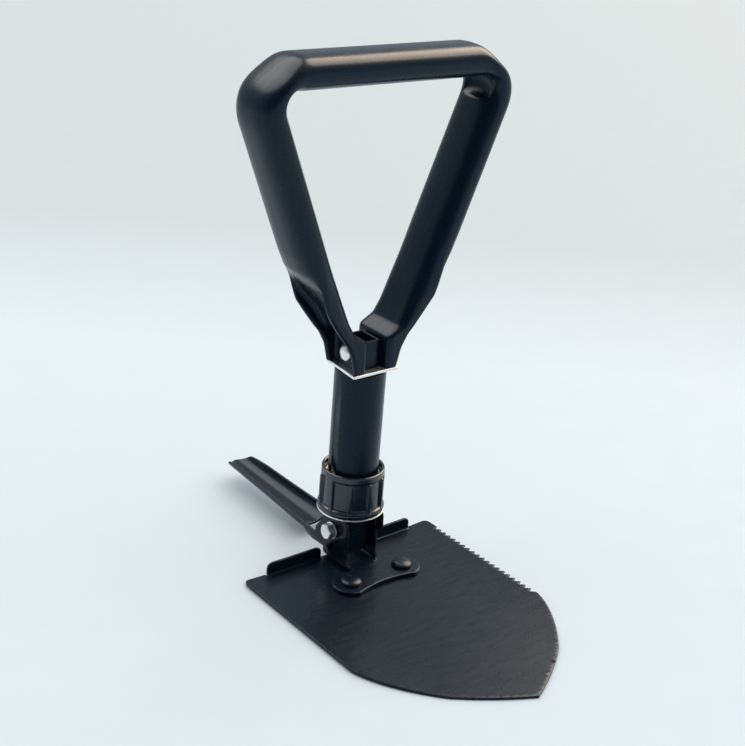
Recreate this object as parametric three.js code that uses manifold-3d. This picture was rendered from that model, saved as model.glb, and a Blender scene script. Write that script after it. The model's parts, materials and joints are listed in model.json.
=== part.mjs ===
// Folding camp shovel with a pick, standing on its blade like a hoe.
//
// Millimetres, +Z up. The origin is on the shaft's axis, on the ground under the blade.
// The blade's tip points to -Y and the pick to +Y. Every hinge axis is along X.
// Touching pieces keep a gap of 0.3 mm.

import * as THREE from 'three';
import { mergeVertices } from 'three/addons/utils/BufferGeometryUtils.js';
import Module from 'manifold-3d';

const wasm = await Module();
wasm.setup();

const GAP = 0.3;

// Blade: a dished plate with a saw on its +X edge and two foot treads at the back.
const BLADE_HALF_WIDTH = 65.5;
const BLADE_REAR = 7;
const BLADE_SHOULDER = -87;
const BLADE_TIP = -155;
const BLADE_THICKNESS = 1.5;
const BLADE_FLAT_HALF_WIDTH = 34;
const BLADE_RISE = 1;
const BLADE_CORNER = 4;
const TOOTH_COUNT = 20;
const TOOTH_DEPTH = 2.6;
const SAW_REAR = -3;
const TREAD_INNER = 14;
const TREAD_OUTER = 50.5;
const TREAD_TOP = 8.6;

// Hinge: one bolt carries the blade's bracket, the pick and the shaft's lug.
const PIVOT_Y = -2;
const PIVOT_Z = 23;
const BOLT_RADIUS = 2.5;
const BOLT_HOLE = 2.8;
const HEX_RADIUS = 4.6;
const LUG_HALF_WIDTH = 8.9;
const BRACKET_INNER = 9.2;
const BRACKET_OUTER = 11.2;
const BRACKET_RADIUS = 10.2;
const PICK_INNER = 11.5;
const PICK_OUTER = 13.1;
const WASHER_INNER = 13.4;
const WASHER_OUTER = 14.4;
const HEAD_INNER = 14.7;
const HEAD_OUTER = 18.4;
const NUT_OUTER = 19.2;

// Bracket base, riveted to the blade.
const BASE_BOTTOM = BLADE_THICKNESS + GAP;
const BASE_TOP = BASE_BOTTOM + 2;
const RIVET_X = 17.9;
const RIVET_Y = -27.2;
const RIVET_LOBE = 10.5;
const RIVET_HEAD_RADIUS = 5.75;
const RIVET_HEAD_HEIGHT = 2.6;
const RIVET_SHANK = 2.6;

// Shaft and its locking collar.
const TUBE_OUTER = 14;
const TUBE_INNER = 12.5;
const TUBE_BOTTOM = 37;
const TUBE_TOP = 118;
const COLLAR_BOTTOM = 34.6;
const COLLAR_TOP = 59.4;
const COLLAR_FOOT_RADIUS = 18.7;
const COLLAR_BODY_RADIUS = 17;
const COLLAR_RIM_RADIUS = 17.5;
const COLLAR_RIB_RADIUS = 18.4;
const COLLAR_BORE = 15.8;
const COLLAR_RIBS = 10;
const THREAD_PITCH = 3;
const SLEEVE_BOTTOM = 38;
const SLEEVE_TURNS = 6;
const PIN_RADIUS = 2;
const PIN_HOLE = PIN_RADIUS + GAP;
const LUG_PIN_Z = 44;
const ANCHOR_PIN_Z = 56;

// Slider: a rectangular tube that slides in the shaft and carries the handle.
const SLIDER_HALF_X = 5.5;
const SLIDER_HALF_Y = 8;
const SLIDER_WALL = 1.2;
const SLIDER_BOTTOM = 62;
const SLIDER_TOP = 135.8;
const STOP_PIN_RADIUS = 1.2;
const STOP_PIN_Y = 5.3;
const STOP_PIN_Z = 66;
const PLATE_BOTTOM = TUBE_TOP + GAP;
const PLATE_TOP = PLATE_BOTTOM + 2;
const PLATE_FRONT_HALF_X = 15.3;
const PLATE_REAR_HALF_X = 12.5;
const PLATE_HALF_Y = 13.6;
const HANDLE_PIN_Z = 128.5;

// Handle: one oval tube bent to a triangle. Its two legs end in crimped ears beside the slider.
const LEG_ANGLE = THREE.MathUtils.degToRad(21.7);
const LEG_APEX_Z = 80.4;
const BAR_Z = 279.2;
const BEND_RADIUS = 17;
const TUBE_HALF_DEPTH = 8.6;
const TUBE_HALF_WIDTH = 15.3;
const HANDLE_WALL = 1.2;
const CRIMP_THICKNESS = 3.2;
const SECTION_POINTS = 20;

// ---------------------------------------------------------------- helpers

// Merges shared corners, drops triangles without area and turns the faces outwards.
function closed(geometry) {
  const bare = geometry.clone();
  for (const name of Object.keys(bare.attributes)) {
    if (name !== 'position') bare.deleteAttribute(name);
  }
  const merged = mergeVertices(bare, 1e-4);
  const points = merged.getAttribute('position');
  const index = merged.getIndex();
  const corner = (i) => new THREE.Vector3().fromBufferAttribute(points, i);
  const triangles = [];
  let volume = 0;
  for (let i = 0; i < index.count; i += 3) {
    const [a, b, c] = [index.getX(i), index.getX(i + 1), index.getX(i + 2)];
    if (a === b || b === c || c === a) continue;
    triangles.push([a, b, c]);
    volume += corner(a).dot(corner(b).cross(corner(c)));
  }
  const outward = volume < 0 ? triangles.map(([a, b, c]) => [a, c, b]) : triangles;
  merged.setIndex(outward.flat());
  return merged;
}

function toSolid(geometry) {
  const mesh = closed(geometry);
  return new wasm.Manifold(new wasm.Mesh({
    numProp: 3,
    vertProperties: new Float32Array(mesh.getAttribute('position').array),
    triVerts: new Uint32Array(mesh.getIndex().array),
  }));
}

function toGeometry(solid) {
  const mesh = solid.getMesh();
  const geometry = new THREE.BufferGeometry();
  geometry.setAttribute('position', new THREE.BufferAttribute(mesh.vertProperties, 3));
  geometry.setIndex(new THREE.BufferAttribute(mesh.triVerts, 1));
  return geometry;
}

function join(...geometries) {
  return toGeometry(geometries.map(toSolid).reduce((sum, solid) => sum.add(solid)));
}

function cut(geometry, ...tools) {
  return toGeometry(tools.map(toSolid).reduce((rest, tool) => rest.subtract(tool), toSolid(geometry)));
}

function common(first, second) {
  return toGeometry(toSolid(first).intersect(toSolid(second)));
}

function shapeOf(points) {
  return new THREE.Shape(points.map(([x, y]) => new THREE.Vector2(x, y)));
}

function extruded(shape, depth, curveSegments) {
  return new THREE.ExtrudeGeometry(shape, { depth, bevelEnabled: false, curveSegments });
}

// A shape drawn in X and Y, raised from z = low to z = high.
function raised(shape, low, high, curveSegments = 12) {
  return extruded(shape, high - low, curveSegments).translate(0, 0, low);
}

// A shape drawn in Y and Z, extruded from x = low to x = high.
function across(shape, low, high, curveSegments = 12) {
  const turn = new THREE.Matrix4().makeBasis(
    new THREE.Vector3(0, 1, 0),
    new THREE.Vector3(0, 0, 1),
    new THREE.Vector3(1, 0, 0),
  );
  return extruded(shape, high - low, curveSegments).applyMatrix4(turn).translate(low, 0, 0);
}

// A shape drawn in X and Z, extruded from y = low to y = high.
function deep(shape, low, high, curveSegments = 12) {
  return extruded(shape, high - low, curveSegments).rotateX(Math.PI / 2).translate(0, high, 0);
}

function box(x0, x1, y0, y1, z0, z1) {
  const geometry = new THREE.BoxGeometry(x1 - x0, y1 - y0, z1 - z0);
  return geometry.translate((x0 + x1) / 2, (y0 + y1) / 2, (z0 + z1) / 2);
}

// A profile of [radius, height] points turned round the Z axis.
function turned(profile, segments = 32) {
  const points = profile.map(([radius, height]) => new THREE.Vector2(radius, height));
  return new THREE.LatheGeometry(points, segments).rotateX(Math.PI / 2);
}

function disc(radius, low, high, segments = 32) {
  return turned([[0, low], [radius, low], [radius, high], [0, high]], segments);
}

function ring(inner, outer, low, high, segments = 32) {
  return turned([[inner, low], [outer, low], [outer, high], [inner, high], [inner, low]], segments);
}

// Lays a piece that was turned round Z along X instead, its axis through (y, z).
function alongX(geometry, y, z) {
  return geometry.rotateY(Math.PI / 2).translate(0, y, z);
}

function pinX(radius, low, high, y, z, segments = 20) {
  return alongX(disc(radius, low, high, segments), y, z);
}

// Skins closed sections of equal length with quads, and closes both ends.
function lofted(outer, inner = null) {
  const count = outer[0].length;
  const rings = inner ? [...outer, ...inner.slice().reverse()] : outer;
  const positions = rings.flat().flatMap((point) => [point.x, point.y, point.z]);
  const triangles = [];
  const bands = inner ? rings.length : rings.length - 1;
  for (let band = 0; band < bands; band += 1) {
    const near = band * count;
    const far = ((band + 1) % rings.length) * count;
    for (let i = 0; i < count; i += 1) {
      const next = (i + 1) % count;
      triangles.push(near + i, near + next, far + next, near + i, far + next, far + i);
    }
  }
  if (!inner) {
    const last = (rings.length - 1) * count;
    for (let i = 1; i < count - 1; i += 1) {
      triangles.push(0, i + 1, i, last, last + i, last + i + 1);
    }
  }
  const geometry = new THREE.BufferGeometry();
  geometry.setAttribute('position', new THREE.Float32BufferAttribute(positions, 3));
  geometry.setIndex(triangles);
  return geometry;
}

function hexPrism(low, high, y, z) {
  const prism = new THREE.CylinderGeometry(HEX_RADIUS, HEX_RADIUS, high - low, 6);
  prism.rotateZ(Math.PI / 2).rotateX(Math.PI / 12);
  return prism.translate((low + high) / 2, y, z);
}

// Signed power, used for rounded-box sections.
function bulge(value, power) {
  return Math.sign(value) * Math.abs(value) ** power;
}

function smooth(low, high, value) {
  return THREE.MathUtils.smoothstep(value, low, high);
}

// Straight-line reading of a short list of [key, value] pairs.
function along(pairs, key) {
  const after = Math.max(1, pairs.findIndex(([k]) => k >= key));
  const [k0, v0] = pairs[after - 1];
  const [k1, v1] = pairs[after];
  return THREE.MathUtils.mapLinear(THREE.MathUtils.clamp(key, k0, k1), k0, k1, v0, v1);
}

// ---------------------------------------------------------------- blade

function bladeOutline() {
  const shape = new THREE.Shape();
  const pitch = (SAW_REAR - BLADE_SHOULDER) / TOOTH_COUNT;
  const edge = BLADE_HALF_WIDTH;
  shape.moveTo(-edge + BLADE_CORNER, BLADE_REAR);
  shape.quadraticCurveTo(-edge, BLADE_REAR, -edge, BLADE_REAR - BLADE_CORNER);
  shape.lineTo(-edge, BLADE_SHOULDER);
  shape.bezierCurveTo(-64.5, -98, -52, -118, -37.8, -131.6);
  shape.bezierCurveTo(-28, -139.5, -14, -148.5, 0, BLADE_TIP);
  shape.bezierCurveTo(14, -148.5, 28, -139.5, 37.8, -131.6);
  shape.bezierCurveTo(52, -118, 64.5, -98, edge, BLADE_SHOULDER);
  for (let tooth = 0; tooth < TOOTH_COUNT; tooth += 1) {
    const y = BLADE_SHOULDER + tooth * pitch;
    shape.lineTo(edge - TOOTH_DEPTH, y + 0.62 * pitch);
    shape.lineTo(edge, y + pitch);
  }
  shape.lineTo(edge, BLADE_REAR - BLADE_CORNER);
  shape.quadraticCurveTo(edge, BLADE_REAR, edge - BLADE_CORNER, BLADE_REAR);
  return shape;
}

// The plate is flat in the middle and its two sides sweep gently up.
function bladeRise(x) {
  const share = Math.max(0, Math.abs(x) - BLADE_FLAT_HALF_WIDTH) / (BLADE_HALF_WIDTH - BLADE_FLAT_HALF_WIDTH);
  return BLADE_RISE * share * share;
}

function blade() {
  const stations = [];
  for (let x = -68; x <= 68; x += 4) stations.push(x);
  const under = stations.map((x) => [x, bladeRise(x)]);
  const over = stations.map((x) => [x, bladeRise(x) + BLADE_THICKNESS]).reverse();
  const sheet = deep(shapeOf([...under, ...over]), BLADE_TIP - 1, BLADE_REAR + 1);
  const plate = common(sheet, raised(bladeOutline(), -1, 8, 8));
  const treads = [-1, 1].map((side) => {
    const radius = 4;
    const tread = new THREE.Shape();
    tread.moveTo(side * TREAD_INNER, 0.9);
    tread.lineTo(side * TREAD_INNER, TREAD_TOP - radius);
    tread.quadraticCurveTo(side * TREAD_INNER, TREAD_TOP, side * (TREAD_INNER + radius), TREAD_TOP);
    tread.lineTo(side * (TREAD_OUTER - radius), TREAD_TOP);
    tread.quadraticCurveTo(side * TREAD_OUTER, TREAD_TOP, side * TREAD_OUTER, TREAD_TOP - radius);
    tread.lineTo(side * TREAD_OUTER, 0.9);
    return deep(tread, BLADE_REAR - BLADE_THICKNESS, BLADE_REAR, 4);
  });
  const holes = [-1, 1].map((side) => (
    disc(RIVET_SHANK + GAP, -1, 8, 20).translate(side * RIVET_X, RIVET_Y, 0)
  ));
  return cut(join(plate, ...treads), ...holes);
}

// ---------------------------------------------------------------- bracket on the blade

// T-shaped base: a lobe round each rivet, narrowing to the foot of the two ears.
function bracketBase() {
  const shape = new THREE.Shape();
  const back = 6;
  const rear = Math.PI * 0.3;
  const front = -Math.PI * 0.56;
  shape.moveTo(-BRACKET_OUTER, back);
  shape.lineTo(-BRACKET_OUTER, RIVET_Y + 13);
  shape.absarc(-RIVET_X, RIVET_Y, RIVET_LOBE, Math.PI - rear, 2 * Math.PI + front, false);
  const lobeX = RIVET_X - RIVET_LOBE * Math.cos(front);
  const lobeY = RIVET_Y + RIVET_LOBE * Math.sin(front);
  shape.quadraticCurveTo(0, RIVET_Y - 5, lobeX, lobeY);
  shape.absarc(RIVET_X, RIVET_Y, RIVET_LOBE, Math.PI - front - 2 * Math.PI, rear, false);
  shape.lineTo(BRACKET_OUTER, RIVET_Y + 13);
  shape.lineTo(BRACKET_OUTER, back);
  return raised(shape, BASE_BOTTOM, BASE_TOP, 10);
}

// Side view of an ear: flared foot, straight front edge, round top about the bolt.
function bracketEar(low, high) {
  const ear = new THREE.Shape();
  const foot = BASE_BOTTOM + 0.5;
  ear.moveTo(PIVOT_Y + BRACKET_RADIUS, foot);
  ear.lineTo(PIVOT_Y + BRACKET_RADIUS, PIVOT_Z);
  ear.absarc(PIVOT_Y, PIVOT_Z, BRACKET_RADIUS, 0, Math.PI, false);
  ear.lineTo(PIVOT_Y - BRACKET_RADIUS, 8.5);
  ear.quadraticCurveTo(PIVOT_Y - BRACKET_RADIUS, BASE_TOP, PIVOT_Y - BRACKET_RADIUS - 4, foot);
  return across(ear, low, high, 14);
}

function hingeBracket() {
  const ears = [
    bracketEar(-BRACKET_OUTER, -BRACKET_INNER),
    bracketEar(BRACKET_INNER, BRACKET_OUTER),
  ];
  const rivetHoles = [-1, 1].map((side) => (
    disc(RIVET_SHANK + GAP, 0, 8, 20).translate(side * RIVET_X, RIVET_Y, 0)
  ));
  const boltHole = pinX(BOLT_HOLE, -20, 20, PIVOT_Y, PIVOT_Z);
  return cut(join(bracketBase(), ...ears), ...rivetHoles, boltHole);
}

function bladeRivet(side) {
  const seat = BASE_TOP + GAP;
  const profile = [[0, GAP], [RIVET_SHANK, GAP], [RIVET_SHANK, seat], [RIVET_HEAD_RADIUS, seat]];
  for (let step = 1; step <= 6; step += 1) {
    const angle = (step / 6) * (Math.PI / 2);
    const height = seat + 0.5 + (RIVET_HEAD_HEIGHT - 0.5) * Math.sin(angle);
    profile.push([step === 6 ? 0 : RIVET_HEAD_RADIUS * Math.cos(angle), height]);
  }
  return turned(profile, 24).translate(side * RIVET_X, RIVET_Y, 0);
}

// ---------------------------------------------------------------- pivot bolt

function pivotBolt() {
  const head = hexPrism(-HEAD_OUTER, -HEAD_INNER, PIVOT_Y, PIVOT_Z);
  const shank = pinX(BOLT_RADIUS, -HEAD_INNER - 1, 21, PIVOT_Y, PIVOT_Z);
  return join(head, shank);
}

function pivotNut() {
  const body = hexPrism(HEAD_INNER, NUT_OUTER, PIVOT_Y, PIVOT_Z);
  return cut(body, pinX(BOLT_HOLE, 10, 25, PIVOT_Y, PIVOT_Z));
}

function pivotWasher(side) {
  const low = side < 0 ? -WASHER_OUTER : WASHER_INNER;
  return alongX(ring(BOLT_HOLE, 5, low, low + WASHER_OUTER - WASHER_INNER, 24), PIVOT_Y, PIVOT_Z);
}

function pivotSpacer() {
  return alongX(ring(BOLT_HOLE, 3.9, -6.5, 6.5, 20), PIVOT_Y, PIVOT_Z);
}

// ---------------------------------------------------------------- pick

// The pick is one pressed trough. At the hinge its walls grow into two tall ears.
const PICK_END = 122;
const PICK_WALL = 1.6;
const PICK_HALF_WIDTHS = [[-20, 13.1], [16, 13.1], [34, 11.8], [60, 10.4], [85, 9.5], [107, 9.2], [122, 9.2]];
const PICK_FLOORS = [[-20, 5.8], [24, 5], [60, 6.4], [92, 7.8], [108, 8.6], [122, 9.8]];
const PICK_FLOOR_START = 31;

function pickSection(y, inset) {
  const halfWidth = along(PICK_HALF_WIDTHS, y) - inset;
  const floor = along(PICK_FLOORS, y) + inset;
  const height = THREE.MathUtils.lerp(28, 9, smooth(13, 34, y)) - inset;
  const power = 2 / THREE.MathUtils.lerp(9, 2.2, smooth(13, 31, y));
  const steps = 12;
  const points = [];
  for (let step = 0; step <= steps; step += 1) {
    const angle = (step / steps - 0.5) * Math.PI;
    const x = halfWidth * bulge(Math.sin(angle), power);
    const z = floor + height * (1 - bulge(Math.cos(angle), power));
    points.push(new THREE.Vector3(x, y, z));
  }
  return points;
}

function pick() {
  const stations = [-18, 13, 17, 21, 25, 29, 34, 44, 60, 76, 92, 108, PICK_END];
  const sheet = lofted(stations.map((y) => [
    ...pickSection(y, 0),
    ...pickSection(y, PICK_WALL).reverse(),
  ]));

  // Side view: the ear round the bolt, and the low rim that runs out to the tip.
  const side = new THREE.Shape();
  side.moveTo(PIVOT_Y - 12.4, PIVOT_Z + 6.6);
  side.quadraticCurveTo(PIVOT_Y - 12.4, PIVOT_Z + 9.6, PIVOT_Y - 9.4, PIVOT_Z + 9.6);
  side.lineTo(PIVOT_Y, PIVOT_Z + 9.6);
  side.quadraticCurveTo(PIVOT_Y + 7.5, PIVOT_Z + 9.6, PIVOT_Y + 9.8, PIVOT_Z + 2.5);
  side.lineTo(PIVOT_Y + 15.6, PIVOT_Z - 4.5);
  side.lineTo(PIVOT_Y + 15.6, PIVOT_Z - 9.2);
  side.lineTo(40, 13.9);
  side.lineTo(85, 15.2);
  side.quadraticCurveTo(104, 16, PICK_END + 2, 12.8);
  side.lineTo(PICK_END + 2, 4);
  side.lineTo(2, 4);
  side.lineTo(0.5, 11);
  side.quadraticCurveTo(-3, 17, PIVOT_Y - 13.2, PIVOT_Z - 1);

  // Plan view: parallel sides that round off to the tip.
  const plan = new THREE.Shape();
  plan.moveTo(-16, -20);
  plan.lineTo(-16, 90);
  plan.lineTo(-10.5, 98);
  plan.bezierCurveTo(-10.4, 114, -9, 119.6, -3.5, 120.3);
  plan.bezierCurveTo(4, 117, 8.4, 106, 10.5, 94);
  plan.lineTo(16, 90);
  plan.lineTo(16, -20);

  const trimmed = common(common(sheet, across(side, -20, 20, 6)), raised(plan, 0, 60, 8));

  // The floor stops short of the bracket; only the two walls run on to the bolt.
  const floorWindow = raised(shapeOf([
    [-PICK_INNER, -20],
    [PICK_INNER, -20],
    [PICK_INNER, 14],
    [8.5, PICK_FLOOR_START],
    [-8.5, PICK_FLOOR_START],
    [-PICK_INNER, 14],
  ]), 0, 60);
  const boltHole = pinX(BOLT_HOLE, -20, 20, PIVOT_Y, PIVOT_Z);
  return cut(trimmed, floorWindow, boltHole);
}

// ---------------------------------------------------------------- shaft

// The lug plugs into the tube and hangs between the bracket's ears as a deep channel.
function hingeLug() {
  const top = TUBE_BOTTOM + GAP;
  const side = new THREE.Shape();
  side.moveTo(-8.2, top + 2);
  side.lineTo(-8.2, 8.5);
  side.lineTo(1, 8.5);
  side.quadraticCurveTo(8, 9.5, 8, 18);
  side.lineTo(8, top + 2);
  const block = across(side, -LUG_HALF_WIDTH, LUG_HALF_WIDTH, 6);
  const hollow = box(-6.9, 6.9, -6.2, 12, 0, top);
  const plug = disc(TUBE_INNER - GAP, top, 52);
  const boltHole = pinX(BOLT_HOLE, -20, 20, PIVOT_Y, PIVOT_Z);
  const pinHole = pinX(PIN_HOLE, -20, 20, 0, LUG_PIN_Z);
  return cut(join(block, plug), hollow, boltHole, pinHole);
}

function shaftTube() {
  const tube = ring(TUBE_INNER, TUBE_OUTER, TUBE_BOTTOM, TUBE_TOP, 40);
  const holes = [LUG_PIN_Z, ANCHOR_PIN_Z].map((z) => pinX(PIN_HOLE, -20, 20, 0, z));
  return cut(tube, ...holes);
}

function crossPin(z) {
  return pinX(PIN_RADIUS, -TUBE_OUTER + 0.2, TUBE_OUTER - 0.2, 0, z, 16);
}

function threadedSleeve() {
  const root = 14.9;
  const crest = 15.5;
  const bore = TUBE_OUTER + GAP;
  const profile = [[bore, SLEEVE_BOTTOM]];
  for (let turn = 0; turn < SLEEVE_TURNS; turn += 1) {
    const z = SLEEVE_BOTTOM + turn * THREAD_PITCH;
    profile.push([root, z], [crest, z + 0.9], [crest, z + 2.1], [root, z + THREAD_PITCH]);
  }
  profile.push([bore, SLEEVE_BOTTOM + SLEEVE_TURNS * THREAD_PITCH], [bore, SLEEVE_BOTTOM]);
  const rings = profile.filter(([r, z], i) => i === 0 || r !== profile[i - 1][0] || z !== profile[i - 1][1]);
  return turned(rings, 32);
}

function lockCollar() {
  const body = turned([
    [COLLAR_BORE, COLLAR_BOTTOM],
    [COLLAR_FOOT_RADIUS, COLLAR_BOTTOM],
    [COLLAR_FOOT_RADIUS, COLLAR_BOTTOM + 2],
    [COLLAR_BODY_RADIUS + 0.5, COLLAR_BOTTOM + 3.6],
    [COLLAR_BODY_RADIUS + 0.2, COLLAR_BOTTOM + 5],
    [COLLAR_BODY_RADIUS, COLLAR_TOP - 5.5],
    [COLLAR_RIM_RADIUS, COLLAR_TOP - 4.2],
    [COLLAR_RIM_RADIUS, COLLAR_TOP - 0.8],
    [COLLAR_RIM_RADIUS - 0.8, COLLAR_TOP],
    [COLLAR_BORE, COLLAR_TOP],
    [COLLAR_BORE, COLLAR_BOTTOM],
  ], 40);
  const ribs = [];
  for (let rib = 0; rib < COLLAR_RIBS; rib += 1) {
    const [foot, top] = [COLLAR_BOTTOM + 1, COLLAR_TOP - 4];
    const grip = box(COLLAR_BODY_RADIUS - 0.6, COLLAR_RIB_RADIUS, -1.2, 1.2, foot, top);
    ribs.push(grip.rotateZ(((rib + 0.36) / COLLAR_RIBS) * 2 * Math.PI));
  }
  return join(body, ...ribs);
}

function thrustWasher() {
  return ring(COLLAR_BORE, COLLAR_FOOT_RADIUS + 0.1, COLLAR_BOTTOM - GAP - 0.8, COLLAR_BOTTOM - GAP, 40);
}

// ---------------------------------------------------------------- slider

function sliderBore(low, high) {
  const [x, y] = [SLIDER_HALF_X + GAP, SLIDER_HALF_Y + GAP];
  return box(-x, x, -y, y, low, high);
}

function roundedRectangle(x, y, radius) {
  const shape = new THREE.Shape();
  shape.moveTo(-x + radius, -y);
  shape.lineTo(x - radius, -y);
  shape.quadraticCurveTo(x, -y, x, -y + radius);
  shape.lineTo(x, y - radius);
  shape.quadraticCurveTo(x, y, x - radius, y);
  shape.lineTo(-x + radius, y);
  shape.quadraticCurveTo(-x, y, -x, y - radius);
  shape.lineTo(-x, -y + radius);
  shape.quadraticCurveTo(-x, -y, -x + radius, -y);
  return shape;
}

function tubeEndPlate() {
  const outline = shapeOf([
    [-PLATE_FRONT_HALF_X, -PLATE_HALF_Y],
    [PLATE_FRONT_HALF_X, -PLATE_HALF_Y],
    [PLATE_REAR_HALF_X, PLATE_HALF_Y],
    [-PLATE_REAR_HALF_X, PLATE_HALF_Y],
  ]);
  return cut(raised(outline, PLATE_BOTTOM, PLATE_TOP), sliderBore(PLATE_BOTTOM - 1, PLATE_TOP + 1));
}

function sliderGuide() {
  return cut(disc(TUBE_INNER - GAP, 98, 112), sliderBore(90, 120));
}

function sliderTube() {
  const outside = raised(roundedRectangle(SLIDER_HALF_X, SLIDER_HALF_Y, 1.2), SLIDER_BOTTOM, SLIDER_TOP, 3);
  const [x, y] = [SLIDER_HALF_X - SLIDER_WALL, SLIDER_HALF_Y - SLIDER_WALL];
  const inside = box(-x, x, -y, y, SLIDER_BOTTOM - 1, SLIDER_TOP + 1);
  const pinHole = pinX(BOLT_HOLE, -20, 20, 0, HANDLE_PIN_Z);
  const stopHole = pinX(STOP_PIN_RADIUS + GAP, -20, 20, STOP_PIN_Y, STOP_PIN_Z, 12);
  return cut(outside, inside, pinHole, stopHole);
}

function sliderStopPin() {
  return pinX(STOP_PIN_RADIUS, -10.6, 10.6, STOP_PIN_Y, STOP_PIN_Z, 12);
}

class Helix extends THREE.Curve {
  constructor(radius, low, high, turns) {
    super();
    Object.assign(this, { radius, low, high, turns });
  }

  getPoint(t) {
    const angle = 2 * Math.PI * this.turns * t;
    const z = THREE.MathUtils.lerp(this.low, this.high, t);
    return new THREE.Vector3(this.radius * Math.cos(angle), this.radius * Math.sin(angle), z);
  }
}

function sliderSpring() {
  const turns = 18;
  const wire = new THREE.Shape();
  wire.absarc(0, 0, 0.5, 0, 2 * Math.PI, false);
  const path = new Helix(2.9, ANCHOR_PIN_Z + 3, HANDLE_PIN_Z - 3.4, turns);
  return new THREE.ExtrudeGeometry(wire, { steps: turns * 9, extrudePath: path, curveSegments: 3 });
}

// ---------------------------------------------------------------- handle

// Half of a channel's outline, by its share of the way from a flange's tip to the web's middle.
function channelPoint(share, depth, halfWidth, corner) {
  const arc = (Math.PI / 2) * corner;
  const travelled = share * (depth - corner + arc + halfWidth - corner);
  if (travelled < depth - corner) return [travelled, halfWidth];
  const swing = Math.min(travelled - (depth - corner), arc) / corner;
  const beyond = Math.max(0, travelled - (depth - corner) - arc);
  const sunk = depth - corner + corner * Math.sin(swing);
  return [sunk, halfWidth - corner + corner * Math.cos(swing) - beyond];
}

// One point of the tube's section. u points away from the triangle's middle and v along Y.
// crimp 0 is the plain oval, crimp 1 a channel that is open to the outside.
function sectionPoint(order, facesOut, station, inset) {
  const last = SECTION_POINTS / 2 - 1;
  const angle = (Math.PI * (order + 0.5)) / (last + 1);
  const halfWidth = station.width - inset;
  const side = order > last / 2 ? -1 : 1;
  const ovalDepth = facesOut ? station.outer - inset : inset - station.inner;
  const ovalU = ovalDepth * Math.sin(angle) ** (2 / 2.5);
  const ovalV = halfWidth * bulge(Math.cos(angle), 2 / 2.5);
  const tip = station.reach - inset;
  const depth = tip + station.inner - (facesOut ? CRIMP_THICKNESS - inset : inset);
  const aside = facesOut ? halfWidth - CRIMP_THICKNESS + 2 * inset : halfWidth;
  const corner = Math.min(station.corner, depth * 0.6) - (facesOut ? 1 : 0);
  const share = 1 - Math.abs((2 * order) / last - 1);
  const [sunk, v1] = channelPoint(share, depth, aside, corner);
  const u = THREE.MathUtils.lerp(ovalU, tip - sunk, station.crimp);
  const v = THREE.MathUtils.lerp(ovalV, side * v1, station.crimp);
  const dent = facesOut ? 0 : station.dent * Math.sin(angle) * Math.exp(-((v / 9) ** 2));
  return [u + dent, v];
}

function sectionRing(station, inset) {
  const half = SECTION_POINTS / 2;
  const points = [];
  for (let i = 0; i < SECTION_POINTS; i += 1) {
    const facesOut = i < half;
    const order = facesOut ? i : SECTION_POINTS - 1 - i;
    const [u, v] = sectionPoint(order, facesOut, station, inset);
    const x = station.x + u * Math.cos(station.tilt);
    const z = station.z + u * Math.sin(station.tilt);
    points.push(new THREE.Vector3(x, v, z));
  }
  return points;
}

// Where the leg's middle line is at a height.
function legX(z) {
  return Math.tan(LEG_ANGLE) * (z - LEG_APEX_Z);
}

// Ear and lower leg: [height, inner x, outer x, half width, corner radius].
const EAR_STATIONS = [
  [PLATE_TOP + GAP, 6.3, 14, 13.4, 3],
  [131, 6.3, 16.6, 13.5, 3],
  [138, 6.4, 20.4, 13.7, 3.5],
  [142.5, 14.2, 24, 14, 5],
  [150, 18.4, 28.8, 14.4, 7],
];

function rightHalf() {
  const stations = EAR_STATIONS.map(([z, near, far, width, corner]) => {
    const x = (near + far) / 2;
    const half = (far - near) / 2;
    return { x, z, tilt: 0, inner: half, outer: half, reach: half, width, corner, crimp: 1, dent: 0 };
  });
  for (const z of [158, 165, 173, 182, 192, 215]) {
    const tilt = -LEG_ANGLE * smooth(150, 192, z);
    const half = TUBE_HALF_DEPTH / Math.cos(LEG_ANGLE + tilt);
    stations.push({
      x: legX(z),
      z,
      tilt,
      inner: half,
      outer: half,
      reach: 2.2 + 0.13 * (z - 158),
      width: TUBE_HALF_WIDTH,
      corner: 8,
      crimp: 1 - smooth(148, 188, z),
      dent: 0,
    });
  }
  const bendX = legX(BAR_Z - BEND_RADIUS) - BEND_RADIUS / Math.cos(LEG_ANGLE);
  const bendSteps = 9;
  for (let step = 0; step <= bendSteps; step += 1) {
    const share = step / bendSteps;
    const tilt = THREE.MathUtils.lerp(-LEG_ANGLE, Math.PI / 2, share);
    const pinch = Math.sin(Math.PI * share) ** 2;
    const flattening = 3.2 * Math.sin(Math.PI * share ** 1.7) ** 2;
    stations.push({
      x: bendX + BEND_RADIUS * Math.cos(tilt),
      z: BAR_Z - BEND_RADIUS + BEND_RADIUS * Math.sin(tilt),
      tilt,
      inner: TUBE_HALF_DEPTH - 3.4 * pinch,
      outer: TUBE_HALF_DEPTH - flattening,
      reach: TUBE_HALF_DEPTH,
      width: TUBE_HALF_WIDTH + pinch,
      corner: 8,
      crimp: 0,
      dent: 4.5 * pinch,
    });
  }
  const middle = { ...stations.at(-1), x: 0 };
  return [...stations, middle];
}

function handle() {
  const right = rightHalf();
  const left = right.slice(0, -1).reverse().map((station) => (
    { ...station, x: -station.x, tilt: Math.PI - station.tilt }
  ));
  const path = [...right, ...left];
  const skin = path.map((station) => sectionRing(station, 0));
  const hollow = path.map((station) => sectionRing(station, HANDLE_WALL));
  const tube = lofted(skin, hollow);
  return cut(tube, pinX(BOLT_HOLE, -20, 20, 0, HANDLE_PIN_Z));
}

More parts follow.
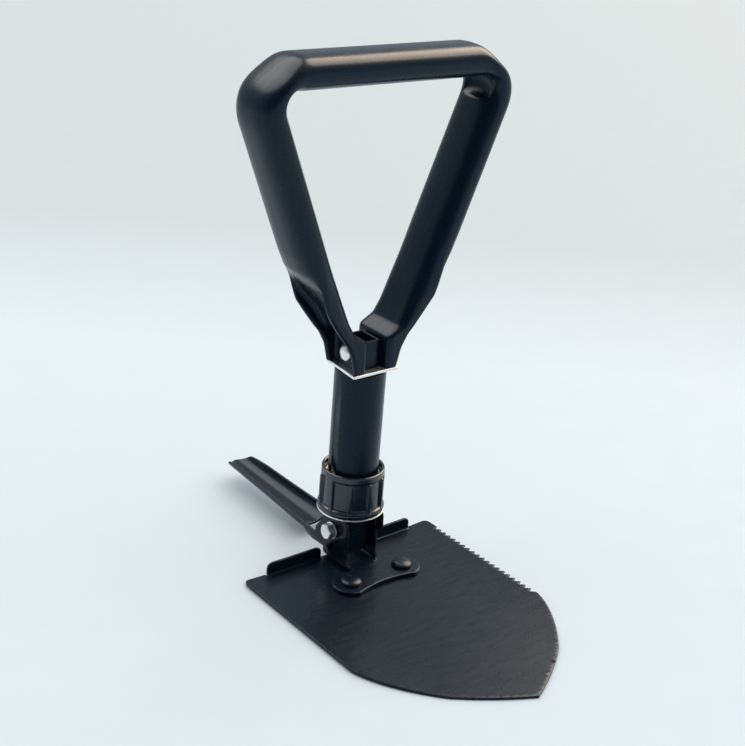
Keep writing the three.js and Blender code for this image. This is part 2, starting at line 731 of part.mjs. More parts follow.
function handlePin() {
  const head = (start, radius) => [
    [0, start], [radius, start], [radius, start + 1.4], [radius * 0.7, start + 2.6], [0, start + 3],
  ];
  const left = alongX(turned(head(10.2, 4.6), 24).rotateX(Math.PI), 0, HANDLE_PIN_Z);
  const right = alongX(turned(head(11.4, 3.8), 20), 0, HANDLE_PIN_Z);
  return join(left, right, pinX(BOLT_RADIUS, -10.5, 11.6, 0, HANDLE_PIN_Z));
}

function handlePinWasher() {
  return alongX(ring(BOLT_HOLE, 4.5, 10.1, 11.1, 20), 0, HANDLE_PIN_Z);
}

// ---------------------------------------------------------------- assembly

const FINISHES = {
  coated_steel: { color: 0x1c2226, roughness: 0.42, metalness: 0.35 },
  collar_plastic: { color: 0x15181b, roughness: 0.38, metalness: 0 },
  bright_steel: { color: 0xc9ccd0, roughness: 0.28, metalness: 0.9 },
  guide_plastic: { color: 0x2a2c2e, roughness: 0.55, metalness: 0 },
};

const shovel = new THREE.Group();

function add(name, geometry, finish) {
  const mesh = new THREE.Mesh(closed(geometry), new THREE.MeshStandardMaterial(FINISHES[finish]));
  mesh.name = name;
  shovel.add(mesh);
}

add('blade', blade(), 'coated_steel');
add('hinge_bracket', hingeBracket(), 'coated_steel');
add('blade_rivet_left', bladeRivet(-1), 'coated_steel');
add('blade_rivet_right', bladeRivet(1), 'coated_steel');
add('pivot_bolt', pivotBolt(), 'bright_steel');
add('pivot_nut', pivotNut(), 'bright_steel');
add('pivot_washer_left', pivotWasher(-1), 'bright_steel');
add('pivot_washer_right', pivotWasher(1), 'bright_steel');
add('pivot_spacer', pivotSpacer(), 'bright_steel');
add('pick', pick(), 'coated_steel');
add('hinge_lug', hingeLug(), 'coated_steel');
add('lug_pin', crossPin(LUG_PIN_Z), 'bright_steel');
add('shaft_tube', shaftTube(), 'coated_steel');
add('threaded_sleeve', threadedSleeve(), 'bright_steel');
add('lock_collar', lockCollar(), 'collar_plastic');
add('thrust_washer', thrustWasher(), 'bright_steel');
add('tube_end_plate', tubeEndPlate(), 'bright_steel');
add('slider_guide', sliderGuide(), 'guide_plastic');
add('slider_tube', sliderTube(), 'coated_steel');
add('slider_stop_pin', sliderStopPin(), 'bright_steel');
add('spring_anchor_pin', crossPin(ANCHOR_PIN_Z), 'bright_steel');
add('slider_spring', sliderSpring(), 'bright_steel');
add('handle', handle(), 'coated_steel');
add('handle_pin', handlePin(), 'bright_steel');
add('handle_pin_washer', handlePinWasher(), 'bright_steel');

export default shovel;
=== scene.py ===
import json
import math

import bmesh
import bpy
import numpy as np
from mathutils import Matrix, Vector
from mathutils.geometry import delaunay_2d_cdt

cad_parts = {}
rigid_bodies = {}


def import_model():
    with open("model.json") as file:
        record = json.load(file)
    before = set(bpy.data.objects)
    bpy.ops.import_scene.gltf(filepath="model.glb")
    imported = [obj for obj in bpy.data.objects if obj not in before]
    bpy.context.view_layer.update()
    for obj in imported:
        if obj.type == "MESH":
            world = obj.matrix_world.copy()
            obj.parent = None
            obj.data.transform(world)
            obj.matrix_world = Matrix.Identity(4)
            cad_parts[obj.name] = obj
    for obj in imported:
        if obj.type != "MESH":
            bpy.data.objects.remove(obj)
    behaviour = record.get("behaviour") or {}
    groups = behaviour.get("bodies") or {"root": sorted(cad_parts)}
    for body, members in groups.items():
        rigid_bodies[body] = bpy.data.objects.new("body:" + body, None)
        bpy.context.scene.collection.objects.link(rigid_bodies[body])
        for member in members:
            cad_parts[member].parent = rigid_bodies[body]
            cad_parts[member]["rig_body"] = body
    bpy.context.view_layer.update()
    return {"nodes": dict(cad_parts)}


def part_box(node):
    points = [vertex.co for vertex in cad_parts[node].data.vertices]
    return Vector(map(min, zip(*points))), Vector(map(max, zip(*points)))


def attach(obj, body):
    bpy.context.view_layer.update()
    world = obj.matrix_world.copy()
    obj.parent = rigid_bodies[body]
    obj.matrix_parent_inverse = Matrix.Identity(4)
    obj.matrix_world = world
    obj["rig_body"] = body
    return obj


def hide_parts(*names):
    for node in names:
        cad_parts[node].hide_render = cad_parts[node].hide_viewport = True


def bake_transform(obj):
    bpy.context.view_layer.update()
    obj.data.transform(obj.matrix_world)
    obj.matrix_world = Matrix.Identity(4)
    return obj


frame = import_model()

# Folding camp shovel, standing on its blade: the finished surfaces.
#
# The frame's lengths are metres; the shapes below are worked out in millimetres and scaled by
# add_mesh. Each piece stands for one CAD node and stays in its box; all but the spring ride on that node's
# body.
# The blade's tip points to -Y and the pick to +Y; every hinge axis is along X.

MM = 0.001
GAP = 0.3


# ---------------------------------------------------------------- places, from the frame

def corners(node):
    """The lowest and highest corner of a CAD node, in millimetres."""
    low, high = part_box(node)
    return np.array(low) / MM, np.array(high) / MM


def centre_of(node):
    low, high = corners(node)
    return (low + high) / 2


BLADE_LOW, BLADE_HIGH = corners("blade")
BRACKET_LOW = corners("hinge_bracket")[0]
LUG_LOW, LUG_HIGH = corners("hinge_lug")
TUBE_LOW, TUBE_HIGH = corners("shaft_tube")
COLLAR_LOW, COLLAR_HIGH = corners("lock_collar")
SLIDER_LOW, SLIDER_HIGH = corners("slider_tube")
PLATE_HIGH = corners("tube_end_plate")[1]
BOLT_LOW, BOLT_HIGH = corners("pivot_bolt")
NUT_LOW, NUT_HIGH = corners("pivot_nut")
HANDLE_LOW, HANDLE_HIGH = corners("handle")
PIN_LOW, PIN_HIGH = corners("handle_pin")

SHEET = 1.5
PIVOT = centre_of("pivot_bolt")[1:]
HANDLE_PIN_Z = centre_of("handle_pin")[2]
BOLT_RADIUS = 2.5
HOLE_RADIUS = 2.8
TUBE_RADIUS = TUBE_HIGH[0]
TUBE_BORE = TUBE_RADIUS - 1.5


# ---------------------------------------------------------------- curves in two dimensions

def unit(vector):
    return vector / max(np.linalg.norm(vector), 1e-12)


def curve(start, *controls, steps=16):
    """Points along a Bezier curve with one or two control points, its start left out."""
    points = [np.array(p, float) for p in (start, *controls)]
    found = []
    for step in range(1, steps + 1):
        level = points
        while len(level) > 1:
            level = [a + (b - a) * step / steps for a, b in zip(level, level[1:])]
        found.append(tuple(level[0]))
    return found


def arc(centre, radius, start, end, steps=24):
    """Points along an arc, from one angle in degrees to another, both ends included."""
    angles = np.radians(np.linspace(start, end, steps + 1))
    return [(centre[0] + radius * math.cos(a), centre[1] + radius * math.sin(a)) for a in angles]


def round_hole(centre, radius):
    return arc(centre, radius, 0, 345, 23)


def rounded(outline, radius, steps=5):
    """Rounds every corner of a closed outline."""
    found = []
    count = len(outline)
    for i in range(count):
        before, corner, after = (np.array(outline[(i + k) % count], float) for k in (-1, 0, 1))
        to_before, to_after = unit(before - corner), unit(after - corner)
        half = math.acos(np.clip(to_before @ to_after, -1, 1)) / 2
        if half > 1.5:
            found.append(tuple(corner))
            continue
        longest = 0.45 * min(np.linalg.norm(before - corner), np.linalg.norm(after - corner))
        reach = min(radius / math.tan(half), longest)
        start, end = corner + to_before * reach, corner + to_after * reach
        found.append(tuple(start))
        found.extend(curve(start, corner, end, steps=steps))
    return found


def resampled(loop, spacing):
    """The loop with no side longer than the spacing."""
    found = []
    for a, b in zip(loop, [*loop[1:], loop[0]]):
        a, b = np.array(a, float), np.array(b, float)
        pieces = max(1, math.ceil(np.linalg.norm(b - a) / spacing))
        found.extend(a + (b - a) * k / pieces for k in range(pieces))
    return np.array(found)


def signed_area(loop):
    x, y = loop[:, 0], loop[:, 1]
    return 0.5 * float(np.sum(x * np.roll(y, -1) - np.roll(x, -1) * y))


def inward(loop):
    """For each point of a loop, the step that moves both its sides one millimetre to the left."""
    ahead = np.roll(loop, -1, axis=0) - loop
    ahead /= np.linalg.norm(ahead, axis=1)[:, None]
    left = np.stack([-ahead[:, 1], ahead[:, 0]], axis=1)
    left_before = np.roll(left, 1, axis=0)
    middle = left + left_before
    square = np.maximum(np.sum(middle * middle, axis=1), 0.6)
    return 2 * middle / square[:, None]


def inside(points, loop):
    """Which of the points lie inside the loop."""
    x, y = points[:, 0][:, None], points[:, 1][:, None]
    x0, y0 = loop[:, 0][None], loop[:, 1][None]
    x1, y1 = np.roll(loop[:, 0], -1)[None], np.roll(loop[:, 1], -1)[None]
    crosses = (y0 > y) != (y1 > y)
    with np.errstate(divide="ignore", invalid="ignore"):
        at = x0 + (y - y0) * (x1 - x0) / (y1 - y0)
    return np.sum(crosses & (x < at), axis=1) % 2 == 1


def within(points, rims):
    """Which of the points lie inside the first loop and outside all the others."""
    kept = inside(points, rims[0])
    for rim in rims[1:]:
        kept &= ~inside(points, rim)
    return kept


# ---------------------------------------------------------------- meshes

def add_mesh(name, points, faces, smooth_below=38):
    """A closed mesh from points in millimetres, its faces turned outwards."""
    mesh = bpy.data.meshes.new(name)
    mesh.from_pydata([tuple(float(c) * MM for c in p) for p in points], [], faces)
    shape = bmesh.new()
    shape.from_mesh(mesh)
    bmesh.ops.remove_doubles(shape, verts=shape.verts, dist=1e-7)
    bmesh.ops.dissolve_degenerate(shape, edges=shape.edges, dist=1e-8)
    loose = [edge for edge in shape.edges if not edge.link_faces]
    bmesh.ops.delete(shape, geom=loose, context="EDGES")
    bmesh.ops.recalc_face_normals(shape, faces=shape.faces)
    shape.to_mesh(mesh)
    shape.free()
    mesh.shade_smooth()
    mesh.set_sharp_from_angle(angle=math.radians(smooth_below))
    piece = bpy.data.objects.new(name, mesh)
    bpy.context.scene.collection.objects.link(piece)
    return piece


def skin(name, rings, ends="capped", **shading):
    """Quads between rings of equal length. ends is capped, or joined where the last ring meets the first."""
    count = len(rings[0])
    points = [p for ring in rings for p in ring]
    faces = []
    bands = len(rings) if ends == "joined" else len(rings) - 1
    for band in range(bands):
        near = band * count
        far = (band + 1) % len(rings) * count
        for i in range(count):
            j = (i + 1) % count
            faces.append((near + i, near + j, far + j, far + i))
    if ends == "capped":
        faces.append(tuple(range(count)))
        faces.append(tuple(range(len(points) - count, len(points))))
    return add_mesh(name, points, faces, **shading)


def turned(name, profile, axis="z", centre=(0, 0, 0), segments=96, **shading):
    """A closed profile of (radius, height) points, turned round an axis through the centre."""
    rings = []
    for angle in np.linspace(0, 2 * math.pi, segments, endpoint=False):
        c, s = math.cos(angle), math.sin(angle)
        ring = [(r * c, r * s, h) if axis == "z" else (h, r * c, r * s) for r, h in profile]
        rings.append([np.array(p) + centre for p in ring])
    return skin(name, rings, ends="joined", **shading)


def sheet_filling(rims, spacing, lines):
    """Even points inside a flat sheet, clear of its rims, with more of them where it bends."""
    low, high = rims[0].min(axis=0), rims[0].max(axis=0)
    grid = []
    for k in (0, 1):
        even = np.arange(low[k] + spacing, high[k], 3 * spacing)
        grid.append(np.unique(np.round(np.concatenate([even, lines[k]]), 3)))
    p, q = np.meshgrid(*grid, indexing="ij")
    filling = np.stack([p.ravel(), q.ravel()], axis=1)
    clear = within(filling, rims)
    for rim in rims:
        clear &= np.min(np.linalg.norm(filling[:, None] - rim[None], axis=2), axis=1) > 0.4 * spacing
    return filling[clear]


def triangulated(rims, filling):
    """A flat sheet's points and triangles, and the number that each given point has among them."""
    flat = np.concatenate([*rims, filling])
    sides = []
    start = 0
    for rim in rims:
        sides.extend((start + i, start + (i + 1) % len(rim)) for i in range(len(rim)))
        start += len(rim)
    made, _, triangles, origin, _, _ = delaunay_2d_cdt([Vector(v) for v in flat], sides, [], 0, 1e-6)
    made = np.array([tuple(v) for v in made])
    triangles = np.array([t for t in triangles if len(t) == 3])
    triangles = triangles[within(made[triangles].mean(axis=1), rims)]
    place_of = {source: i for i, sources in enumerate(origin) for source in sources}
    return made, triangles, place_of


def plate(name, outline, holes, place, thickness, edge, spacing, lines=((), ()), **shading):
    """A piece of sheet metal with rounded edges.

    outline and holes are drawn flat, and place(p, q) gives the points and normals of the sheet's
    middle surface. lines are extra values of p and q where the sheet bends and needs more points."""
    loops = []
    for i, loop in enumerate([outline, *holes]):
        loop = resampled(loop, spacing)
        wrong_way = (signed_area(loop) < 0) == (i == 0)
        loops.append(loop[::-1] if wrong_way else loop)
    steps = [inward(loop) for loop in loops]
    rims = [loop + step * edge for loop, step in zip(loops, steps)]
    made, triangles, place_of = triangulated(rims, sheet_filling(rims, spacing, lines))

    middle, normal = place(made[:, 0], made[:, 1])
    points = [*(middle + normal * thickness / 2), *(middle - normal * thickness / 2)]
    faces = [tuple(t) for t in triangles]
    faces += [tuple(t[::-1] + len(made)) for t in triangles]

    turn = np.radians([60, 30, 0])
    upper_heights = thickness / 2 - edge + edge * np.sin(turn)
    upper_insets = edge - edge * np.cos(turn)
    heights = [*upper_heights, *-upper_heights[::-1]]
    insets = [*upper_insets, *upper_insets[::-1]]
    first = 0
    for loop, step in zip(loops, steps):
        count = len(loop)
        rows = [[place_of[first + i] for i in range(count)]]
        for height, inset in zip(heights, insets):
            at = loop + step * inset
            middle, normal = place(at[:, 0], at[:, 1])
            rows.append(list(range(len(points), len(points) + count)))
            points.extend(middle + normal * height)
        rows.append([place_of[first + i] + len(made) for i in range(count)])
        for upper, lower in zip(rows, rows[1:]):
            for i in range(count):
                j = (i + 1) % count
                faces.append((upper[i], lower[i], lower[j], upper[j]))
        first += count
    return add_mesh(name, points, faces, **shading)


def drilled(piece, radius, centre):
    """Cuts a round hole along X through a piece, and applies it."""
    drill = [(0, -30), (radius, -30), (radius, 30), (0, 30)]
    cutter = turned("cutter", drill, "x", centre, 32)
    cut = piece.modifiers.new("hole", "BOOLEAN")
    cut.operation = "DIFFERENCE"
    cut.solver = "EXACT"
    cut.object = cutter
    seen = piece.evaluated_get(bpy.context.evaluated_depsgraph_get())
    cut_mesh = bpy.data.meshes.new_from_object(seen)
    piece.modifiers.clear()
    piece.data = cut_mesh
    bpy.data.objects.remove(cutter)
    return piece


def finish_piece(piece, node, material):
    """The piece stands for a CAD node and moves with its body."""
    piece.data.materials.clear()
    piece.data.materials.append(material)
    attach(piece, frame["nodes"][node]["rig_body"])
    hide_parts(node)
    return piece


def joined(name, pieces):
    """One object from several closed shells."""
    shape = bmesh.new()
    for piece in pieces:
        shape.from_mesh(piece.data)
    mesh = bpy.data.meshes.new(name)
    shape.to_mesh(mesh)
    shape.free()
    for piece in pieces:
        bpy.data.objects.remove(piece)
    whole = bpy.data.objects.new(name, mesh)
    bpy.context.scene.collection.objects.link(whole)
    return whole


# ---------------------------------------------------------------- blade

BLADE_SHOULDER = -87
BLADE_FLAT_HALF_WIDTH = 34
BLADE_RISE = 1
TEETH = 20
TOOTH_DEPTH = 2.6
SAW_REAR = -3
TREAD_INNER = 14
TREAD_OUTER = 50.5
TREAD_BEND = 1
TREAD_RELIEF = 0.4
RIVET_PLACES = [(-17.9, -27.2), (17.9, -27.2)]
RIVET_HOLE = 2.9
RIVET_SHANK = 2.6
RIVET_RIM = 0.6


def blade_place(x, q):
    """The blade's middle surface: flat, swept up towards the sides, with the two treads bent up."""
    start = BLADE_HIGH[1] - SHEET - TREAD_BEND
    radius = TREAD_BEND + SHEET / 2
    side_width = BLADE_HIGH[0] - BLADE_FLAT_HALF_WIDTH
    share = np.maximum(0, np.abs(x) - BLADE_FLAT_HALF_WIDTH) / side_width
    slope = 2 * BLADE_RISE * share / side_width * np.sign(x)
    reach = TREAD_RELIEF / 2
    bent = (np.abs(x) > TREAD_INNER - reach) & (np.abs(x) < TREAD_OUTER + reach) & (q > start)
    angle = np.where(bent, np.clip((q - start) / radius, 0, math.pi / 2), 0)
    beyond = np.where(bent, np.maximum(0, q - start - radius * math.pi / 2), 0)
    y = np.where(bent, start + radius * np.sin(angle), q)
    z = SHEET / 2 + BLADE_RISE * share ** 2 + radius * (1 - np.cos(angle)) + beyond
    normal = np.stack([-slope * np.cos(angle), -np.sin(angle), np.cos(angle)], axis=1)
    return np.stack([x, y, z], axis=1), normal / np.linalg.norm(normal, axis=1)[:, None]


def blade_outline():
    edge, rear, tip = BLADE_HIGH[0], BLADE_HIGH[1], BLADE_LOW[1]
    pitch = (SAW_REAR - BLADE_SHOULDER) / TEETH
    outline = [(-edge, BLADE_SHOULDER)]
    outline += curve(outline[-1], (-64.5, -98), (-52, -118), (-37.8, -131.6), steps=24)
    outline += curve(outline[-1], (-28, -139.5), (-14, -148.5), (0, tip), steps=20)
    outline += curve(outline[-1], (14, -148.5), (28, -139.5), (37.8, -131.6), steps=20)
    outline += curve(outline[-1], (52, -118), (64.5, -98), (edge, BLADE_SHOULDER), steps=24)
    for tooth in range(TEETH):
        foot = BLADE_SHOULDER + tooth * pitch
        gullet = (edge - TOOTH_DEPTH, foot + 0.62 * pitch)
        outline += [(gullet[0], gullet[1] - 0.15), (gullet[0], gullet[1] + 0.15)]
        outline += [(edge, foot + pitch - 0.1), (edge, foot + pitch + 0.1)]
    corner = 4
    outline += [(edge, rear - corner)]
    outline += curve(outline[-1], (edge, rear), (edge - corner, rear), steps=8)

    bend = rear - SHEET - TREAD_BEND
    top = bend + (TREAD_BEND + SHEET / 2) * math.pi / 2 + BLADE_HIGH[2] - TREAD_BEND - SHEET
    slot = TREAD_RELIEF
    tab = [(TREAD_OUTER + slot, rear), (TREAD_OUTER + slot, bend), (TREAD_OUTER, bend)]
    tab += [(TREAD_OUTER, top - corner)]
    tab += curve(tab[-1], (TREAD_OUTER, top), (TREAD_OUTER - corner, top), steps=8)
    tab += [(TREAD_INNER + corner, top)]
    tab += curve(tab[-1], (TREAD_INNER, top), (TREAD_INNER, top - corner), steps=8)
    tab += [(TREAD_INNER, bend), (TREAD_INNER - slot, bend), (TREAD_INNER - slot, rear)]
    outline += tab
    outline += [(-x, y) for x, y in tab[::-1]]
    outline += [(-edge + corner, rear)]
    outline += curve(outline[-1], (-edge, rear), (-edge, rear - corner), steps=8)
    return outline


def make_blade(material):
    holes = [round_hole(place, RIVET_HOLE) for place in RIVET_PLACES]
    bend = BLADE_HIGH[1] - SHEET - TREAD_BEND
    bends = np.linspace(bend, bend + 2.8, 6)
    blade = plate("blade_sheet", blade_outline(), holes, blade_place, SHEET, 0.35, 0.7, ([], bends))
    return finish_piece(blade, "blade", material)


def make_rivet(side, material):
    name = f"blade_rivet_{side}"
    low, high = corners(name)
    x, y, _ = centre_of(name)
    radius = (high[0] - low[0]) / 2
    seat = BRACKET_LOW[2] + 2 + GAP
    rim = seat + RIVET_RIM
    dome = [(radius * math.cos(a), rim + (high[2] - rim) * math.sin(a) ** 0.9)
            for a in np.radians(np.linspace(0, 90, 14))]
    profile = [(0, low[2]), (RIVET_SHANK - 0.3, low[2]), (RIVET_SHANK, low[2] + 0.3)]
    profile += [(RIVET_SHANK, seat), (radius - 0.2, seat)]
    rivet = turned(f"{name}_dome", [*profile, *dome], centre=(x, y, 0), segments=64)
    return finish_piece(rivet, name, material)


# ---------------------------------------------------------------- bracket on the blade

EAR_OUTER = 11.2
EAR_SHEET = 2
EAR_BEND = 1
EAR_RADIUS = 10.2
LOBE_RADIUS = 10.5
RELIEF_Y = -16.3


def bracket_bend():
    """Where the ears' bend starts, and the radius of its middle surface."""
    return EAR_OUTER - EAR_SHEET - EAR_BEND, EAR_BEND + EAR_SHEET / 2


def flat_height(z):
    """How far from the middle a height on an ear lies in the flat bracket."""
    start, radius = bracket_bend()
    return start + radius * math.pi / 2 + z - (BRACKET_LOW[2] + EAR_SHEET + EAR_BEND)


def bracket_place(p, q):
    """The bracket's middle surface: a flat base with two ears bent up behind the relief cuts."""
    start, radius = bracket_bend()
    side = np.sign(p)
    bent = q > RELIEF_Y
    angle = np.where(bent, np.clip((np.abs(p) - start) / radius, 0, math.pi / 2), 0)
    beyond = np.where(bent, np.maximum(0, np.abs(p) - start - radius * math.pi / 2), 0)
    x = np.where(angle > 0, side * (start + radius * np.sin(angle)), p)
    z = BRACKET_LOW[2] + EAR_SHEET / 2 + radius * (1 - np.cos(angle)) + beyond
    normal = np.stack([-side * np.sin(angle), 0 * p, np.cos(angle)], axis=1)
    return np.stack([x, q, z], axis=1), normal


def bracket_outline():
    start, radius = bracket_bend()
    rivet_x, rivet_y = RIVET_PLACES[1]
    bolt = (flat_height(PIVOT[1]), PIVOT[0])
    front, rear, base_rear = PIVOT[0] - EAR_RADIUS, PIVOT[0] + EAR_RADIUS, 6
    half = [(0, rivet_y - 7.5)]
    half += curve(half[-1], (10, rivet_y - 7.5), (rivet_x + 1.5, rivet_y - LOBE_RADIUS), steps=12)
    half += arc((rivet_x, rivet_y), LOBE_RADIUS, -76, 58)
    half += curve(half[-1], (rivet_x - 1, -17.6), (start + 1, RELIEF_Y - 0.2), steps=10)
    half += [(start, RELIEF_Y - 0.2), (start, RELIEF_Y + 0.2), (start + 1, RELIEF_Y + 0.2)]
    half += curve(half[-1], (start + 4.5, front), (flat_height(9), front), steps=12)
    half += arc(bolt, EAR_RADIUS, -90, 90)
    half += [(flat_height(6), rear)]
    half += curve(half[-1], (start + 2, rear), (start - 1, base_rear), steps=8)
    return half + [(-p, q) for p, q in half[:0:-1]]


def make_bracket(material):
    start, radius = bracket_bend()
    bolt = (flat_height(PIVOT[1]), PIVOT[0])
    holes = [round_hole(place, RIVET_HOLE) for place in RIVET_PLACES]
    holes += [round_hole((side * bolt[0], bolt[1]), HOLE_RADIUS) for side in (-1, 1)]
    bends = np.linspace(start, start + radius * math.pi / 2, 8)
    bracket = plate("hinge_bracket_bent", bracket_outline(), holes, bracket_place, EAR_SHEET, 0.4, 0.7,
                    ([*-bends, *bends], []))
    return finish_piece(bracket, "hinge_bracket", material)


# ---------------------------------------------------------------- pivot bolt

HEX_RADIUS = 4.6
HEAD_DEPTH = 3.7


def hexagon(name, face, back, bore=0.0):
    """A chamfered hexagon along X, from its face to its back, dished in the middle or with a bore."""
    count = 96
    angles = np.linspace(0, 2 * math.pi, count, endpoint=False)
    flats = HEX_RADIUS * math.cos(math.pi / 6)
    turn = (angles + math.pi / 12) % (math.pi / 3) - math.pi / 6
    six_sided = flats / np.cos(turn)
    way = 1 if back > face else -1
    rows = [(face + way * depth, np.minimum(six_sided, 0.93 * flats + depth / math.tan(math.radians(30))))
            for depth in (0, 0.06, 0.15, 0.25, 0.35, 0.5, 0.7)]
    rows += [(back - way * 0.15, six_sided), (back, six_sided - 0.15)]
    if bore:
        rows += [(back, np.full(count, bore)), (face, np.full(count, bore))]
    else:
        middle = [(face, np.full(count, 0.78 * flats)), (face + way * 0.25, np.full(count, 0.6 * flats)),
                  (face + way * 0.25, np.full(count, 0.01))]
        rows = middle[::-1] + rows
    rings = [[(x, PIVOT[0] + r * math.cos(a), PIVOT[1] + r * math.sin(a)) for r, a in zip(radii, angles)]
             for x, radii in rows]
    return skin(name, rings, ends="joined" if bore else "capped", smooth_below=25)


def make_pivot(material):
    head = hexagon("bolt_head", BOLT_LOW[0], BOLT_LOW[0] + HEAD_DEPTH)
    shank = [(0, BOLT_LOW[0] + HEAD_DEPTH), (BOLT_RADIUS, BOLT_LOW[0] + HEAD_DEPTH)]
    for turn in range(6):
        x = NUT_LOW[0] - 1 + turn * 0.8
        shank += [(BOLT_RADIUS, x), (BOLT_RADIUS - 0.3, x + 0.4)]
    shank += [(BOLT_RADIUS, BOLT_HIGH[0] - 0.6), (BOLT_RADIUS - 0.5, BOLT_HIGH[0]), (0, BOLT_HIGH[0])]
    stem = turned("bolt_stem", shank, "x", (0, *PIVOT), 48)
    finish_piece(joined("pivot_bolt_hex", [head, stem]), "pivot_bolt", material)
    nut = hexagon("pivot_nut_hex", NUT_HIGH[0], NUT_LOW[0], bore=HOLE_RADIUS)
    finish_piece(nut, "pivot_nut", material)


def make_ring(node, axis, inner, material, edge=0.2):
    """A washer, spacer or bush: a ring with rounded edges, its outside and length from its node."""
    low, high = corners(node)
    centre = centre_of(node)
    k = 0 if axis == "x" else 2
    outer = (high[1] - low[1]) / 2
    profile = rounded([(inner, low[k]), (outer, low[k]), (outer, high[k]), (inner, high[k])], edge, 3)
    centre[k] = 0
    made = turned(f"{node}_ring", profile, axis, centre, 96)
    return finish_piece(made, node, material)


def make_pin(node, material):
    """A straight cross pin with rounded ends."""
    low, high = corners(node)
    radius = (high[2] - low[2]) / 2
    edge = 0.4
    profile = [(0, low[0]), (radius - edge, low[0])]
    profile += curve(profile[-1], (radius, low[0]), (radius, low[0] + edge), steps=3)
    profile += [(radius, high[0] - edge)]
    profile += curve(profile[-1], (radius, high[0]), (radius - edge, high[0]), steps=3)
    profile += [(0, high[0])]
    pin = turned(f"{node}_rod", profile, "x", (0, *centre_of(node)[1:]), 32)
    return finish_piece(pin, node, material)


# ---------------------------------------------------------------- pick

PICK_SHEET = 1.6
PICK_WIDTHS = [(-20, 13.1), (16, 13.1), (34, 11.8), (60, 10.4), (85, 9.5), (107, 9.2), (122, 9.2)]
PICK_FLOORS = [(-20, 5.8), (24, 5), (60, 6.4), (92, 7.8), (108, 8.6), (122, 9.8)]
PICK_FLOOR_START = 33
PICK_EAR_END = 13
PICK_EAR_HEIGHT, PICK_EAR_SQUARENESS = 28, 9
PICK_TROUGH_HEIGHT, PICK_TROUGH_SQUARENESS = 9, 2.2


def read(pairs, at):
    """Straight-line reading of a short list of (key, value) pairs."""
    keys, values = zip(*pairs)
    return np.interp(at, keys, values)


def smooth(low, high, value):
    t = np.clip((value - low) / (high - low), 0, 1)
    return t * t * (3 - 2 * t)


def pick_sections(y):
    """For each y, the right half of the trough's middle surface: travelled, across and height."""
    y = np.atleast_1d(np.asarray(y, float))[:, None]
    half = read(PICK_WIDTHS, y) - PICK_SHEET / 2
    floor = read(PICK_FLOORS, y) + PICK_SHEET / 2
    lower = (PICK_TROUGH_HEIGHT - PICK_EAR_HEIGHT) * smooth(PICK_EAR_END, 34, y)
    rounder = (PICK_TROUGH_SQUARENESS - PICK_EAR_SQUARENESS) * smooth(PICK_EAR_END, 31, y)
    tall = PICK_EAR_HEIGHT + lower - PICK_SHEET / 2
    power = PICK_EAR_SQUARENESS + rounder
    diagonal = 2 ** (-1 / power)
    t = np.linspace(0, 1, 48)[None]
    low_x = t * diagonal
    low_z = 1 - (1 - low_x ** power) ** (1 / power)
    high_z = (1 - diagonal) + t[:, 1:] * diagonal
    high_x = (1 - (1 - high_z) ** power) ** (1 / power)
    x = half * np.concatenate([low_x, high_x], axis=1)
    z = floor + tall * np.concatenate([low_z, high_z], axis=1)
    steps = np.hypot(np.diff(x, axis=1), np.diff(z, axis=1))
    travelled = np.concatenate([np.zeros((len(x), 1)), np.cumsum(steps, axis=1)], axis=1)
    return travelled, x, z


def pick_at(s, y):
    """Points on the trough, s along its section from the middle of the floor."""
    travelled, x, z = pick_sections(y)
    rows = zip(np.abs(s), travelled, x, z)
    found = np.array([(np.interp(a, t, xs), np.interp(a, t, zs)) for a, t, xs, zs in rows])
    return np.stack([np.sign(s) * found[:, 0], y, found[:, 1]], axis=1)


def pick_place(s, y):
    h = 0.15
    across = pick_at(s + h, y) - pick_at(s - h, y)
    onward = pick_at(s, y + h) - pick_at(s, y - h)
    normal = np.cross(across, onward)
    return pick_at(s, y), normal / np.linalg.norm(normal, axis=1)[:, None]


def pick_from_height(y, z):
    """How far along its section the trough reaches a height."""
    travelled, _, heights = pick_sections(y)
    return float(np.interp(z, heights[0], travelled[0]))


def pick_from_side(y, x):
    """How far along its section the trough is at a distance from its middle plane."""
    travelled, across, _ = pick_sections(y)
    return math.copysign(float(np.interp(abs(x), across[0], travelled[0])), x)


